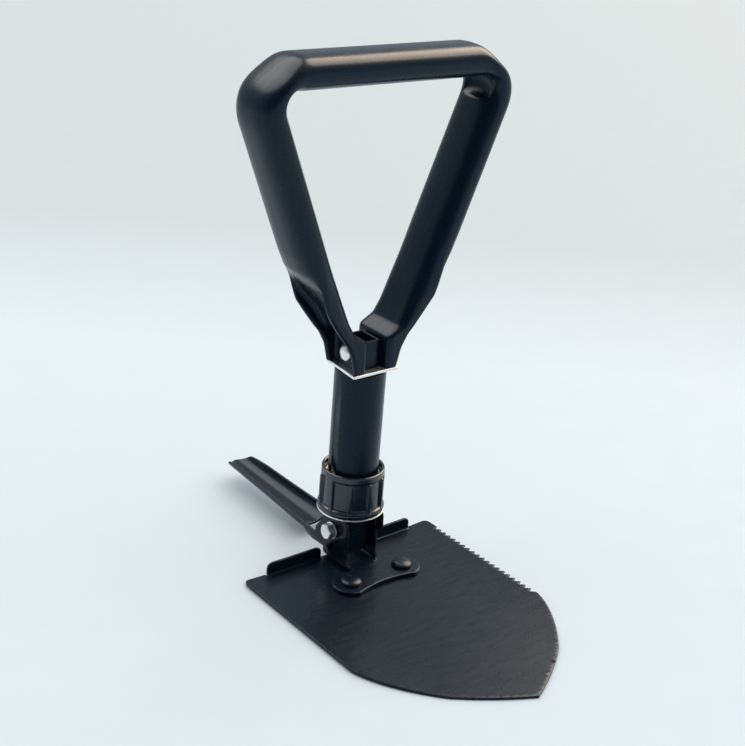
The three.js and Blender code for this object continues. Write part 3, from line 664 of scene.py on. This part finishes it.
def pick_outline():
    """The pressing laid flat: the opening behind the floor, one wall, the tip, and the other wall."""
    py, pz = PIVOT
    rim = [(py + 15.6, 13.8), (40, 13.9), (85, 15.2)] + curve((85, 15.2), (104, 16), (124, 12.8), steps=10)
    tip = (116.8, 0.5)
    right_tip = [(98, 10.5)] + curve((98, 10.5), (107, 9.8), (114.5, 7.5), tip, steps=16)
    left_tip = [(102, -10.5)] + curve((102, -10.5), (109, -9.8), (114.5, -7), tip, steps=16)

    def side_of(y, plan):
        by_rim = pick_from_height(y, float(read(rim, y)))
        if y < plan[0][0]:
            return by_rim
        return min(by_rim, pick_from_side(y, float(read(plan, y))), key=abs)

    ear = [(py + 15.6, pz - 4.5), (py + 9.8, pz + 2.5)]
    ear += curve(ear[-1], (py + 7.5, pz + 9.6), (py, pz + 9.6), steps=10)
    ear += [(py - 9.4, pz + 9.6)]
    ear += curve(ear[-1], (py - 12.4, pz + 9.6), (py - 12.4, pz + 6.6), steps=6)
    ear += [(py - 12.9, pz - 0.5)]
    ear += curve(ear[-1], (-3, 17), (0.5, 11), steps=10)
    ear += [(1.6, 7.5)]

    along = [*np.linspace(py + 16, 112, 60), *np.linspace(112.4, tip[0] - 0.1, 22)]
    right = [(pick_from_height(y, z), y) for y, z in ear[::-1]]
    right += [(side_of(y, right_tip), y) for y in along]
    left = [(-abs(side_of(y, left_tip)) if y < tip[0] - 0.6 else side_of(y, left_tip), y) for y in along]
    left_ear = [(-pick_from_height(y, z), y) for y, z in ear[::-1]]
    window = [(PICK_FLOOR_START, 7), (PICK_FLOOR_START - 0.6, 8), (PICK_FLOOR_START - 2.5, 8.8)]
    window += [(14, EAR_OUTER + GAP), (4, EAR_OUTER + GAP)]
    inner = [(pick_from_side(y, x), y) for y, x in window]
    mirrored = [(-s, y) for s, y in inner[::-1]]
    point = [(pick_from_side(tip[0], tip[1]), tip[0])]
    return inner + right + point + left[::-1] + left_ear[::-1] + mirrored


def make_pick(material):
    bolt = pick_from_height(PIVOT[0], PIVOT[1])
    holes = [round_hole((side * bolt, PIVOT[0]), HOLE_RADIUS) for side in (-1, 1)]
    pick = plate("pick_pressed", pick_outline(), holes, pick_place, PICK_SHEET, 0.45, 0.8,
                 (np.arange(-40, 40.1, 0.9), []))
    return finish_piece(pick, "pick", material)


# ---------------------------------------------------------------- shaft

LUG_HALF = 8.9
LUG_FRONT = -8.2
LUG_SHEET = 2
LUG_BEND = 1
CROSS_PIN_HOLE = 2.3


def lug_place(p, z):
    """The lug's middle surface: a front web with two cheeks bent back."""
    start = LUG_HALF - LUG_SHEET - LUG_BEND
    radius = LUG_BEND + LUG_SHEET / 2
    side = np.sign(p)
    angle = np.clip((np.abs(p) - start) / radius, 0, math.pi / 2)
    beyond = np.maximum(0, np.abs(p) - start - radius * math.pi / 2)
    x = np.where(angle > 0, side * (start + radius * np.sin(angle)), p)
    y = LUG_FRONT + LUG_SHEET / 2 + radius * (1 - np.cos(angle)) + beyond
    normal = np.stack([side * np.sin(angle), -np.cos(angle), 0 * p], axis=1)
    return np.stack([x, y, z], axis=1), normal


def make_lug(material):
    start = LUG_HALF - LUG_SHEET - LUG_BEND
    turn_end = start + (LUG_BEND + LUG_SHEET / 2) * math.pi / 2
    shoulder = TUBE_LOW[2] + GAP

    def flat(y):
        return turn_end + y - (LUG_FRONT + LUG_SHEET + LUG_BEND)

    bottom = LUG_LOW[2]
    half = [(0, bottom), (flat(1), bottom)]
    half += curve(half[-1], (flat(8), bottom + 1), (flat(8), bottom + 9.5), steps=12)
    half += [(flat(8), shoulder)]
    outline = half + [(-p, z) for p, z in half[:0:-1]]
    bolt = flat(PIVOT[0])
    holes = [round_hole((side * bolt, PIVOT[1]), HOLE_RADIUS) for side in (-1, 1)]
    bends = np.linspace(start, turn_end, 8)
    channel = plate("lug_channel", outline, holes, lug_place, LUG_SHEET, 0.4, 0.8, ([*-bends, *bends], []))
    radius = LUG_HIGH[0]
    profile = [(0, shoulder), (radius, shoulder), (radius, LUG_HIGH[2] - 0.8), (radius - 0.8, LUG_HIGH[2]),
               (0, LUG_HIGH[2])]
    plug = turned("lug_plug", profile)
    drilled(plug, CROSS_PIN_HOLE, (0, 0, centre_of("lug_pin")[2]))
    finish_piece(joined("hinge_lug_bent", [channel, plug]), "hinge_lug", material)


def make_tube(material):
    low, high = TUBE_LOW[2], TUBE_HIGH[2]
    wall = [(TUBE_BORE, low), (TUBE_RADIUS, low), (TUBE_RADIUS, high), (TUBE_BORE, high)]
    tube = turned("shaft_tube_drawn", rounded(wall, 0.35), segments=128)
    for pin in ("lug_pin", "spring_anchor_pin"):
        drilled(tube, CROSS_PIN_HOLE, (0, 0, centre_of(pin)[2]))
    finish_piece(tube, "shaft_tube", material)


def make_sleeve(material):
    """The threaded sleeve that the locking collar runs on: one real helical thread."""
    low, high = corners("threaded_sleeve")
    inner, pitch, depth = TUBE_RADIUS + GAP, 3, 0.6
    root = high[0] - depth
    heights = np.linspace(low[2] + 0.2, high[2] - 0.2, 72)
    fade = smooth(low[2], low[2] + 1.5, heights) * (1 - smooth(high[2] - 1.5, high[2], heights))
    rings = []
    for share in np.linspace(0, 1, 96, endpoint=False):
        phase = ((heights - low[2]) / pitch - share) % 1
        crest = np.clip(2.2 - 4.4 * np.abs(phase - 0.5), 0, 1)
        ring = [(inner, low[2]), (root - 0.2, low[2]), *zip(root + depth * crest * fade, heights)]
        ring += [(root - 0.2, high[2]), (inner, high[2])]
        c, s = math.cos(2 * math.pi * share), math.sin(2 * math.pi * share)
        rings.append([(r * c, r * s, z) for r, z in ring])
    sleeve = skin("threaded_sleeve_cut", rings, ends="joined", smooth_below=50)
    finish_piece(sleeve, "threaded_sleeve", material)


# ---------------------------------------------------------------- locking collar

RIB_COUNT = 10
RIB_TURN = 0.36
RIB_HALF_WIDTH = 0.75
RIB_FLANK = 0.55
RIB_HEIGHT = 1.6
COLLAR_BORE = 15.8
COLLAR_BODY_RADIUS = 16.9


def collar_radius(z, rib_side):
    """Outer radius at a height above the collar's foot, rib_side away from the nearest rib's middle."""
    tall = COLLAR_HIGH[2] - COLLAR_LOW[2]
    foot = COLLAR_HIGH[0]
    body = COLLAR_BODY_RADIUS - 0.2 * z / tall
    body = body + (foot - body) * (1 - smooth(2, 4.4, z))
    body = body + 0.8 * smooth(tall - 4.6, tall - 3.6, z)
    rib_low, rib_high = 1.5, tall - 5.4
    beyond = np.maximum(0, np.maximum(rib_low - z, z - rib_high))
    away = np.hypot(rib_side, beyond)
    rib = 1 - smooth(RIB_HALF_WIDTH, RIB_HALF_WIDTH + RIB_FLANK, away)
    return np.maximum(body, body + np.minimum(RIB_HEIGHT, foot - 0.3 - body) * rib)


def make_collar(material):
    tall = COLLAR_HIGH[2] - COLLAR_LOW[2]
    sector = 360 / RIB_COUNT
    near_rib = np.linspace(-8, 8, 33)
    between = np.linspace(8, sector - 8, 9)[1:-1]
    rim = 0.8
    heights = [0.4, *np.arange(1, tall - rim, 0.4), tall - rim]
    rings = []
    for rib in range(RIB_COUNT):
        for turn in [*near_rib, *between]:
            away = math.radians(min(abs(turn), abs(turn - sector))) * 17
            ring = [(COLLAR_BORE + 0.4, 0), (COLLAR_HIGH[0] - 0.4, 0)]
            ring += [(float(collar_radius(z, away)), z) for z in heights]
            top = ring[-1][0]
            ring += curve(ring[-1], (top, tall), (top - rim, tall), steps=5)
            ring += [(COLLAR_BORE + 0.4, tall), (COLLAR_BORE, tall - 0.4), (COLLAR_BORE, 0.4)]
            angle = math.radians((rib + RIB_TURN) * sector + turn)
            rings.append([(r * math.cos(angle), r * math.sin(angle), COLLAR_LOW[2] + z) for r, z in ring])
    collar = skin("lock_collar_moulded", rings, ends="joined", smooth_below=60)
    finish_piece(collar, "lock_collar", material)


# ---------------------------------------------------------------- slider

SLIDER_WALL = 1.2
SLIDER_CORNER = 1.6
STOP_PIN_HOLE = 1.5
END_PLATE_SHEET = 1.5


def box_loop(half_x, half_y, corner, steps=8):
    """A rounded rectangle, drawn round the Z axis."""
    loop = []
    for quarter, (sx, sy) in enumerate([(1, 1), (-1, 1), (-1, -1), (1, -1)]):
        centre = (sx * (half_x - corner), sy * (half_y - corner))
        loop += arc(centre, corner, 90 * quarter, 90 * quarter + 90, steps)
    return loop


def make_slider(material):
    low, high = SLIDER_LOW[2], SLIDER_HIGH[2]
    edge = 0.35
    turn = np.radians(np.linspace(0, 90, 5))
    rows = [(edge * (1 - math.cos(a)), low + edge * (1 - math.sin(a))) for a in turn[::-1]]
    rows += [(edge * (1 - math.cos(a)), high - edge * (1 - math.sin(a))) for a in turn]
    rows += [(SLIDER_WALL - inset, z) for inset, z in rows[::-1]]
    rings = []
    for inset, z in rows:
        loop = box_loop(SLIDER_HIGH[0] - inset, SLIDER_HIGH[1] - inset, max(SLIDER_CORNER - inset, 0.3))
        rings.append([(x, y, z) for x, y in loop])
    slider = skin("slider_tube_drawn", rings, ends="joined")
    drilled(slider, HOLE_RADIUS, (0, 0, HANDLE_PIN_Z))
    drilled(slider, STOP_PIN_HOLE, (0, *centre_of("slider_stop_pin")[1:]))
    finish_piece(slider, "slider_tube", material)


def make_end_plate(material):
    """A bright plate welded on the tube, with the slider's opening in its middle."""
    front, rear = PLATE_HIGH[0], PLATE_HIGH[0] - 2.8
    half_y, middle = PLATE_HIGH[1], PLATE_HIGH[2] - END_PLATE_SHEET / 2
    outline = rounded([(-front, -half_y), (front, -half_y), (rear, half_y), (-rear, half_y)], 0.9)
    opening = box_loop(SLIDER_HIGH[0] + GAP, SLIDER_HIGH[1] + GAP, 1, 4)

    def place(x, y):
        points = np.stack([x, y, np.full(len(x), middle)], axis=1)
        return points, np.tile([0.0, 0.0, 1.0], (len(x), 1))

    made = plate("tube_end_plate_cut", outline, [opening], place, END_PLATE_SHEET, 0.25, 0.9)
    finish_piece(made, "tube_end_plate", material)


def make_guide(material):
    """A round plastic bush with the slider's rectangular opening."""
    low, high = corners("slider_guide")
    radius, half_x, half_y = high[0], SLIDER_HIGH[0] + GAP, SLIDER_HIGH[1] + GAP
    opening = box_loop(half_x, half_y, 0.8, 6)
    angles = [math.atan2(y, x) for x, y in opening]
    rings = []
    for inset, z in [(0.4, low[2]), (0, low[2] + 0.4), (0, high[2] - 0.4), (0.4, high[2])]:
        rings.append([((radius - inset) * math.cos(a), (radius - inset) * math.sin(a), z) for a in angles])
    rings += [[(x, y, z) for x, y in opening] for z in (high[2], low[2])]
    guide = skin("slider_guide_bush", rings, ends="joined")
    finish_piece(guide, "slider_guide", material)


def make_spring(material):
    """The tension spring, built as one fixed coil."""
    low, high = corners("slider_spring")
    wire, turns, sides = 0.5, 18, 10
    radius = high[0] - wire
    start, end = low[2] + wire, high[2] - wire
    rings = []
    for share in np.linspace(0, 1, turns * 24 + 1):
        turn = 2 * math.pi * turns * share
        out = np.array([math.cos(turn), math.sin(turn), 0])
        centre = out * radius + np.array([0, 0, start + (end - start) * share])
        up = np.array([0, 0, 1.0])
        size = wire * min(1, 0.4 + 60 * min(share, 1 - share))
        rings.append([centre + size * (out * math.cos(a) + up * math.sin(a))
                      for a in np.linspace(0, 2 * math.pi, sides, endpoint=False)])
    spring = skin("slider_spring_coil", rings)
    spring.data.materials.append(material)
    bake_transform(spring)
    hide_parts("slider_spring")


# ---------------------------------------------------------------- handle

LEG_ANGLE = math.radians(21.7)
LEG_APEX_Z = 80.4
BEND_RADIUS = 17
TUBE_HALF_DEPTH = 8.6
TUBE_HALF_WIDTH = 15.3
CRIMP_THICKNESS = 3.2
BAR_Z = HANDLE_HIGH[2] - TUBE_HALF_DEPTH
SHARES = np.linspace(0, 1, 27)
STATION_STEP = 1.2

# Ear and lower leg: height, inner x, outer x, half width, corner radius.
EAR_STATIONS = [
    (HANDLE_LOW[2], 6.3, 14, 13.4, 3),
    (131, 6.3, 16.6, 13.5, 3),
    (138, 6.4, 20.4, 13.7, 3.5),
    (142.5, 14.2, 24.2, 14, 5),
    (150, 18.4, 29.9, 14.4, 6.5),
]
# The dent inside the bend: where it lies along the bend, from 0 to 1, and its size.
DENT_MIDDLE, DENT_REACH = 0.36, 0.34
DENT_DEPTH = 4.0
DENT_HALF_WIDTH = 10.5
FIELDS = ("x", "z", "tilt", "inner", "outer", "reach", "width", "corner", "crimp", "dent")


def channel_path(depth, half, corner, facing_in):
    """Half of the crimped channel's outline, from the crown of a flange's fold to the web's middle."""
    fold = CRIMP_THICKNESS / 2
    straight = max(0, depth - fold - corner)
    lengths = np.array([fold, straight, corner, max(0, half - corner)])
    lengths[[0, 2]] *= math.pi / 2
    ends = np.cumsum(lengths)
    sunk, aside = [], []
    outward = 1 if facing_in else -1
    for travelled in SHARES * ends[-1]:
        if travelled <= ends[0]:
            a = travelled / fold
            sunk.append(fold - fold * math.cos(a))
            aside.append(half - outward * fold + outward * fold * math.sin(a))
        elif travelled <= ends[1]:
            sunk.append(fold + travelled - ends[0])
            aside.append(half)
        elif travelled <= ends[2] and corner > 0:
            a = (travelled - ends[1]) / corner
            sunk.append(depth - corner + corner * math.sin(a))
            aside.append(half - corner + corner * math.cos(a))
        else:
            sunk.append(depth)
            aside.append(half - corner - (travelled - ends[2]))
    return np.array(sunk), np.array(aside)


def half_section(station, facing_in):
    """u, away from the triangle's middle, and v, along Y, for one face and v above zero."""
    angle = SHARES * math.pi / 2
    oval_depth = -station["inner"] if facing_in else station["outer"]
    oval_u = oval_depth * np.sin(angle) ** 0.8
    oval_v = station["width"] * np.cos(angle) ** 0.8
    whole = station["reach"] + station["inner"]
    depth = whole if facing_in else whole - CRIMP_THICKNESS
    half = station["width"] if facing_in else station["width"] - CRIMP_THICKNESS
    corner = min(station["corner"], 0.6 * depth, half) - (0 if facing_in else 1)
    sunk, aside = channel_path(depth, half, max(corner, 0.3), facing_in)
    u = oval_u + (station["reach"] - sunk - oval_u) * station["crimp"]
    v = oval_v + (aside - oval_v) * station["crimp"]
    if facing_in:
        u = u + station["dent"] * np.maximum(0, 1 - (v / DENT_HALF_WIDTH) ** 2) ** 0.7
    return u, v


def section_ring(station, mirrored):
    """One whole section: the face towards the triangle's middle, then the outer face."""
    inward, outward = half_section(station, True), half_section(station, False)
    u = np.concatenate([inward[0], inward[0][-2::-1], outward[0][1:], outward[0][-2:0:-1]])
    v = np.concatenate([inward[1], -inward[1][-2::-1], -outward[1][1:], outward[1][-2:0:-1]])
    x = station["x"] + u * math.cos(station["tilt"])
    z = station["z"] + u * math.sin(station["tilt"])
    return np.stack([-x if mirrored else x, v, z], axis=1)


def leg_x(z):
    """Where the leg's middle line is at a height."""
    return math.tan(LEG_ANGLE) * (z - LEG_APEX_Z)


def handle_stations():
    """The right half of the handle, from its ear to the middle of the bar."""
    rows = []
    for z, near, far, width, corner in EAR_STATIONS:
        half = (far - near) / 2
        rows.append((near + half, z, 0, half, half, half, width, corner, 1, 0))
    for z in (158, 165, 173, 182, 192, 215, 240):
        tilt = -LEG_ANGLE * smooth(150, 192, z)
        half = TUBE_HALF_DEPTH / math.cos(LEG_ANGLE + tilt)
        crimp = 1 - smooth(148, 188, z)
        reach = min(half, 5.2 + 0.2 * (z - 158))
        rows.append((leg_x(z), z, tilt, half, half, reach, TUBE_HALF_WIDTH, 8, crimp, 0))
    bend_x = leg_x(BAR_Z - BEND_RADIUS) - BEND_RADIUS / math.cos(LEG_ANGLE)
    for share in np.linspace(0, 1, 41):
        tilt = -LEG_ANGLE + (math.pi / 2 + LEG_ANGLE) * share
        pinch = math.sin(math.pi * share) ** 2
        flattening = 3.2 * math.sin(math.pi * share ** 1.7) ** 2
        scoop = DENT_DEPTH * max(0, 1 - ((share - DENT_MIDDLE) / DENT_REACH) ** 2) ** 0.75
        x = bend_x + BEND_RADIUS * math.cos(tilt)
        z = BAR_Z - BEND_RADIUS + BEND_RADIUS * math.sin(tilt)
        rows.append((x, z, tilt, TUBE_HALF_DEPTH - 3.4 * pinch, TUBE_HALF_DEPTH - flattening,
                     TUBE_HALF_DEPTH, TUBE_HALF_WIDTH + pinch, 8, 0, scoop))
    rows.append((0, *rows[-1][1:]))
    return np.array(rows)


def make_handle(material):
    """One oval tube, skinned over even, slightly eased stations from ear to ear."""
    rows = handle_stations()
    travelled = np.concatenate([[0], np.cumsum(np.hypot(np.diff(rows[:, 0]), np.diff(rows[:, 1])))])
    at = np.linspace(0, travelled[-1], round(travelled[-1] / STATION_STEP) + 1)
    even = np.stack([np.interp(at, travelled, column) for column in rows.T], axis=1)
    eased = even.copy()
    eased[1:-1] = (even[:-2] + 2 * even[1:-1] + even[2:]) / 4
    stations = [dict(zip(FIELDS, row)) for row in eased]
    rings = [section_ring(station, False) for station in stations]
    rings += [section_ring(station, True) for station in stations[-2::-1]]
    handle = skin("handle_bent", rings, smooth_below=55)
    drilled(handle, HOLE_RADIUS, (0, 0, HANDLE_PIN_Z))
    finish_piece(handle, "handle", material)


def make_handle_pin(material):
    """A rivet with a broad head in the left ear and a narrower one in the right."""
    left, right = PIN_LOW[0], PIN_HIGH[0]
    profile = [(0, left), (1.6, left + 0.05), (3, left + 0.5), (4.1, left + 1.1), (4.55, left + 1.7),
               (4.6, left + 2.2), (4.5, left + 2.8), (BOLT_RADIUS, left + 3)]
    profile += [(BOLT_RADIUS, right - 3), (3.6, right - 2.9), (3.8, right - 2.5), (3.7, right - 1.6),
                (3, right - 0.7), (1.5, right - 0.1), (0, right)]
    pin = turned("handle_pin_rivet", profile, "x", (0, 0, HANDLE_PIN_Z), 64, smooth_below=60)
    finish_piece(pin, "handle_pin", material)


# ---------------------------------------------------------------- materials

class Nodes:
    """Adds nodes to a tree. Each input is a number, a colour or another node's output."""

    def __init__(self, tree, coordinates):
        self.tree = tree
        self.place = tree.nodes.new("ShaderNodeTexCoord").outputs[coordinates]

    def put(self, value, socket):
        if isinstance(value, bpy.types.NodeSocket):
            self.tree.links.new(value, socket)
        else:
            socket.default_value = value

    def wired(self, node, inputs, output):
        for key, value in inputs.items():
            self.put(value, node.inputs[key])
        return node.outputs[output]

    def noise(self, scale, detail=3, stretch=(1, 1, 1)):
        """Soft noise of so many waves in a metre, from 0 to 1."""
        mapping = self.tree.nodes.new("ShaderNodeMapping")
        place = self.wired(mapping, {"Vector": self.place, "Scale": stretch}, "Vector")
        texture = self.tree.nodes.new("ShaderNodeTexNoise")
        return self.wired(texture, {"Vector": place, "Scale": scale, "Detail": detail}, "Fac")

    def span(self, value, low, high, new_low, new_high, way="LINEAR"):
        node = self.tree.nodes.new("ShaderNodeMapRange")
        node.interpolation_type = way
        return self.wired(node, dict(enumerate((value, low, high, new_low, new_high))), "Result")

    def combine(self, operation, a, b):
        node = self.tree.nodes.new("ShaderNodeMath")
        node.operation = operation
        return self.wired(node, {0: a, 1: b}, "Value")

    def dot(self, a, b):
        node = self.tree.nodes.new("ShaderNodeVectorMath")
        node.operation = "DOT_PRODUCT"
        return self.wired(node, {0: a, 1: b}, "Value")

    def blend(self, share, first, second):
        node = self.tree.nodes.new("ShaderNodeMix")
        node.data_type = "RGBA"
        a, b = ((*colour, 1) if isinstance(colour, tuple) else colour for colour in (first, second))
        return self.wired(node, {"Factor": share, "A": a, "B": b}, "Result")


class Look(Nodes):
    """A material, built up on its Principled shader."""

    def __init__(self, name):
        self.material = bpy.data.materials.new(name)
        self.material.use_nodes = True
        super().__init__(self.material.node_tree, "Object")
        self.shader = self.tree.nodes["Principled BSDF"]

    def edges(self, radius):
        """1 on sharp edges, 0 on flat ground."""
        bevel = self.tree.nodes.new("ShaderNodeBevel")
        bevel.samples = 4
        soft = self.wired(bevel, {"Radius": radius}, "Normal")
        true = self.tree.nodes.new("ShaderNodeNewGeometry").outputs["Normal"]
        return self.span(self.dot(soft, true), 1.0, 0.82, 0.0, 1.0)

    def bump(self, layers):
        """Stacks bumps given as (height, depth in metres)."""
        below = {}
        for height, depth in layers:
            node = self.tree.nodes.new("ShaderNodeBump")
            inputs = {"Strength": 1, "Distance": depth, "Height": height, **below}
            below = {"Normal": self.wired(node, inputs, "Normal")}
        self.put(below["Normal"], self.shader.inputs["Normal"])

    def set(self, **values):
        for name, value in values.items():
            self.put(value, self.shader.inputs[name.replace("_", " ")])


def coated_steel():
    """Satin black coating: a fine orange peel, faint handling marks, and metal at the sharpest edges."""
    look = Look("coated_steel")
    broad = look.noise(9, 3)
    marks = look.noise(60, 4, (1, 6, 1))
    grain = look.noise(1400, 2)
    worn = look.combine("MULTIPLY", look.edges(0.0007), look.span(look.noise(240, 3), 0.5, 0.72, 0, 1))
    colour = look.blend(look.span(broad, 0.35, 0.65, 0, 1), (0.003, 0.0085, 0.0195), (0.004, 0.0105, 0.0185))
    look.set(Base_Color=look.blend(worn, colour, (0.16, 0.165, 0.17)))
    smear = look.span(marks, 0.3, 0.7, 0.25, 0.31)
    peel = look.span(grain, 0.3, 0.7, -0.02, 0.03)
    look.set(Roughness=look.combine("ADD", smear, peel), Metallic=look.span(worn, 0, 1, 0, 0.8))
    look.shader.inputs["IOR"].default_value = 1.34
    look.shader.inputs["Specular Tint"].default_value = (0.62, 0.82, 1, 1)
    look.bump([(look.noise(70, 2), 0.00006), (grain, 0.000012)])
    return look.material


def collar_plastic():
    """Black moulded plastic, glossier than the coating, with a faint grain and rubbed ribs."""
    look = Look("collar_plastic")
    grain = look.noise(900, 3)
    rubbed = look.combine("MULTIPLY", look.edges(0.0006), look.span(look.noise(150, 3), 0.45, 0.7, 0, 0.5))
    look.set(Base_Color=look.blend(rubbed, (0.006, 0.016, 0.03), (0.04, 0.044, 0.05)))
    look.set(Roughness=look.span(look.noise(45, 4), 0.3, 0.7, 0.15, 0.23))
    look.shader.inputs["IOR"].default_value = 1.62
    look.bump([(look.noise(90, 2), 0.00003), (grain, 0.00001)])
    return look.material


def bright_steel():
    """Zinc plate: pale, slightly uneven, with fine scratches."""
    look = Look("bright_steel")
    cloudy = look.noise(180, 4)
    scratches = look.noise(300, 3, (1, 14, 1))
    look.set(Base_Color=look.blend(look.span(cloudy, 0.3, 0.7, 0, 1), (0.82, 0.82, 0.8), (0.93, 0.94, 0.95)))
    look.set(Roughness=look.span(scratches, 0.3, 0.7, 0.26, 0.44), Metallic=0.92)
    look.bump([(scratches, 0.000012), (cloudy, 0.00002)])
    return look.material


def guide_plastic():
    """Grey-black nylon, matt with a mould's fine grain."""
    look = Look("guide_plastic")
    grain = look.noise(700, 3)
    cloudy = look.span(grain, 0.3, 0.7, 0, 1)
    look.set(Base_Color=look.blend(cloudy, (0.02, 0.021, 0.022), (0.035, 0.036, 0.037)))
    look.set(Roughness=look.span(look.noise(60, 3), 0.3, 0.7, 0.5, 0.62))
    look.bump([(grain, 0.00002)])
    return look.material


def studio_paper():
    """The pale seamless floor, with painted shade: a little darker behind the object, where the sweep begins
    and catches less light.
    """
    look = Look("studio_paper")
    apart = look.tree.nodes.new("ShaderNodeSeparateXYZ")
    look.put(look.place, apart.inputs["Vector"])
    behind = look.combine("ADD", look.combine("MULTIPLY", apart.outputs["X"], -math.sin(CAMERA_YAW)),
                      look.combine("MULTIPLY", apart.outputs["Y"], math.cos(CAMERA_YAW)))
    # painted shade: the floor's colour darkens with distance behind the object
    far = look.span(behind, 0.30, 0.62, 0, 1)
    look.set(Base_Color=look.blend(far, (0.76, 0.83, 0.88), (0.62, 0.675, 0.69)))
    look.set(Roughness=look.span(look.noise(40, 3), 0.3, 0.7, 0.75, 0.85))
    look.bump([(look.noise(500, 3), 0.00003)])
    return look.material


# ---------------------------------------------------------------- camera, floor and light

CAMERA_PLACE = (-0.4293, -0.5165, 0.4009)
CAMERA_YAW = -0.70317
CAMERA_PITCH = 0.40238
CAMERA_ROLL = 0.079456
CAMERA_LENS = 65.73
FLOOR_RADIUS = 6000


def make_camera():
    """Yaw turns the camera from +Y towards -X, pitch looks down and roll tilts the picture."""
    ahead = Vector((-math.sin(CAMERA_YAW) * math.cos(CAMERA_PITCH),
                    math.cos(CAMERA_YAW) * math.cos(CAMERA_PITCH), -math.sin(CAMERA_PITCH)))
    right = ahead.cross(Vector((0, 0, 1))).normalized()
    up = right.cross(ahead)
    c, s = math.cos(CAMERA_ROLL), math.sin(CAMERA_ROLL)
    columns = (c * right + s * up, c * up - s * right, -ahead)
    data = bpy.data.cameras.new("camera")
    data.lens = CAMERA_LENS
    data.sensor_width = 36
    camera = bpy.data.objects.new("camera", data)
    camera.matrix_world = Matrix.Translation(CAMERA_PLACE) @ Matrix(columns).transposed().to_4x4()
    bpy.context.scene.collection.objects.link(camera)
    bpy.context.scene.camera = camera


def make_floor():
    rim = [(x, y, 0) for x, y in arc((0, 0), FLOOR_RADIUS, 0, 354, 59)]
    floor = add_mesh("floor", rim, [tuple(range(len(rim)))])
    floor.data.materials.append(studio_paper())


def add_sun(name, azimuth, elevation, strength, colour, width, lights):
    """A broad far light, in degrees. Azimuth 0 comes from +Y and 90 from +X.

    lights is diffuse or glossy: the one kind of reflection that it is seen in."""
    data = bpy.data.lights.new(name, "SUN")
    data.energy = strength
    data.color = colour
    data.angle = math.radians(width)
    light = bpy.data.objects.new(name, data)
    a, e = math.radians(azimuth), math.radians(elevation)
    towards = Vector((math.sin(a) * math.cos(e), math.cos(a) * math.cos(e), math.sin(e)))
    light.rotation_euler = towards.to_track_quat("Z", "Y").to_euler()
    light.visible_diffuse = lights == "diffuse"
    light.visible_glossy = lights == "glossy"
    bpy.context.scene.collection.objects.link(light)


def make_world():
    """Pale all round, dark blue behind the camera and softly warm overhead."""
    world = bpy.data.worlds.new("studio")
    world.use_nodes = True
    bpy.context.scene.world = world
    sky = Nodes(world.node_tree, "Generated")
    above = sky.span(sky.dot(sky.place, (0, 0, 1)), 0.6, 0.9, 0, 1, "SMOOTHSTEP")
    towards_camera = (math.sin(CAMERA_YAW), -math.cos(CAMERA_YAW), 0.25)
    behind = sky.span(sky.dot(sky.place, towards_camera), 0.25, 0.85, 0, 1, "SMOOTHSTEP")
    colour = sky.blend(above, (0.42, 0.50, 0.55), (0.55, 0.48, 0.40))
    colour = sky.blend(behind, colour, (0.02, 0.032, 0.055))
    sky.put(colour, world.node_tree.nodes["Background"].inputs["Color"])


# ---------------------------------------------------------------- assembly

def build():
    coated = coated_steel()
    bright = bright_steel()
    make_blade(coated)
    for side in ("left", "right"):
        make_rivet(side, coated)
        make_ring(f"pivot_washer_{side}", "x", HOLE_RADIUS, bright)
    make_bracket(coated)
    make_pivot(bright)
    make_ring("pivot_spacer", "x", HOLE_RADIUS, bright)
    make_pick(coated)
    make_lug(coated)
    make_tube(coated)
    make_sleeve(bright)
    make_ring("thrust_washer", "z", COLLAR_BORE, bright)
    make_collar(collar_plastic())
    for node in ("lug_pin", "spring_anchor_pin", "slider_stop_pin"):
        make_pin(node, bright)
    make_end_plate(bright)
    make_guide(guide_plastic())
    make_slider(coated)
    make_spring(bright)
    make_handle(coated)
    make_handle_pin(bright)
    make_ring("handle_pin_washer", "x", HOLE_RADIUS, bright)


make_camera()
make_floor()
make_world()
add_sun("softbox", 60, 68, 2.2, (0.93, 0.98, 1.0), 130, "diffuse")
add_sun("window", 84, 42, 5.2, (1.0, 0.76, 0.57), 48, "glossy")
add_sun("ceiling", -18, 58, 3.2, (1.0, 0.86, 0.76), 54, "glossy")
build()
bpy.context.scene.view_settings.view_transform = "Standard"
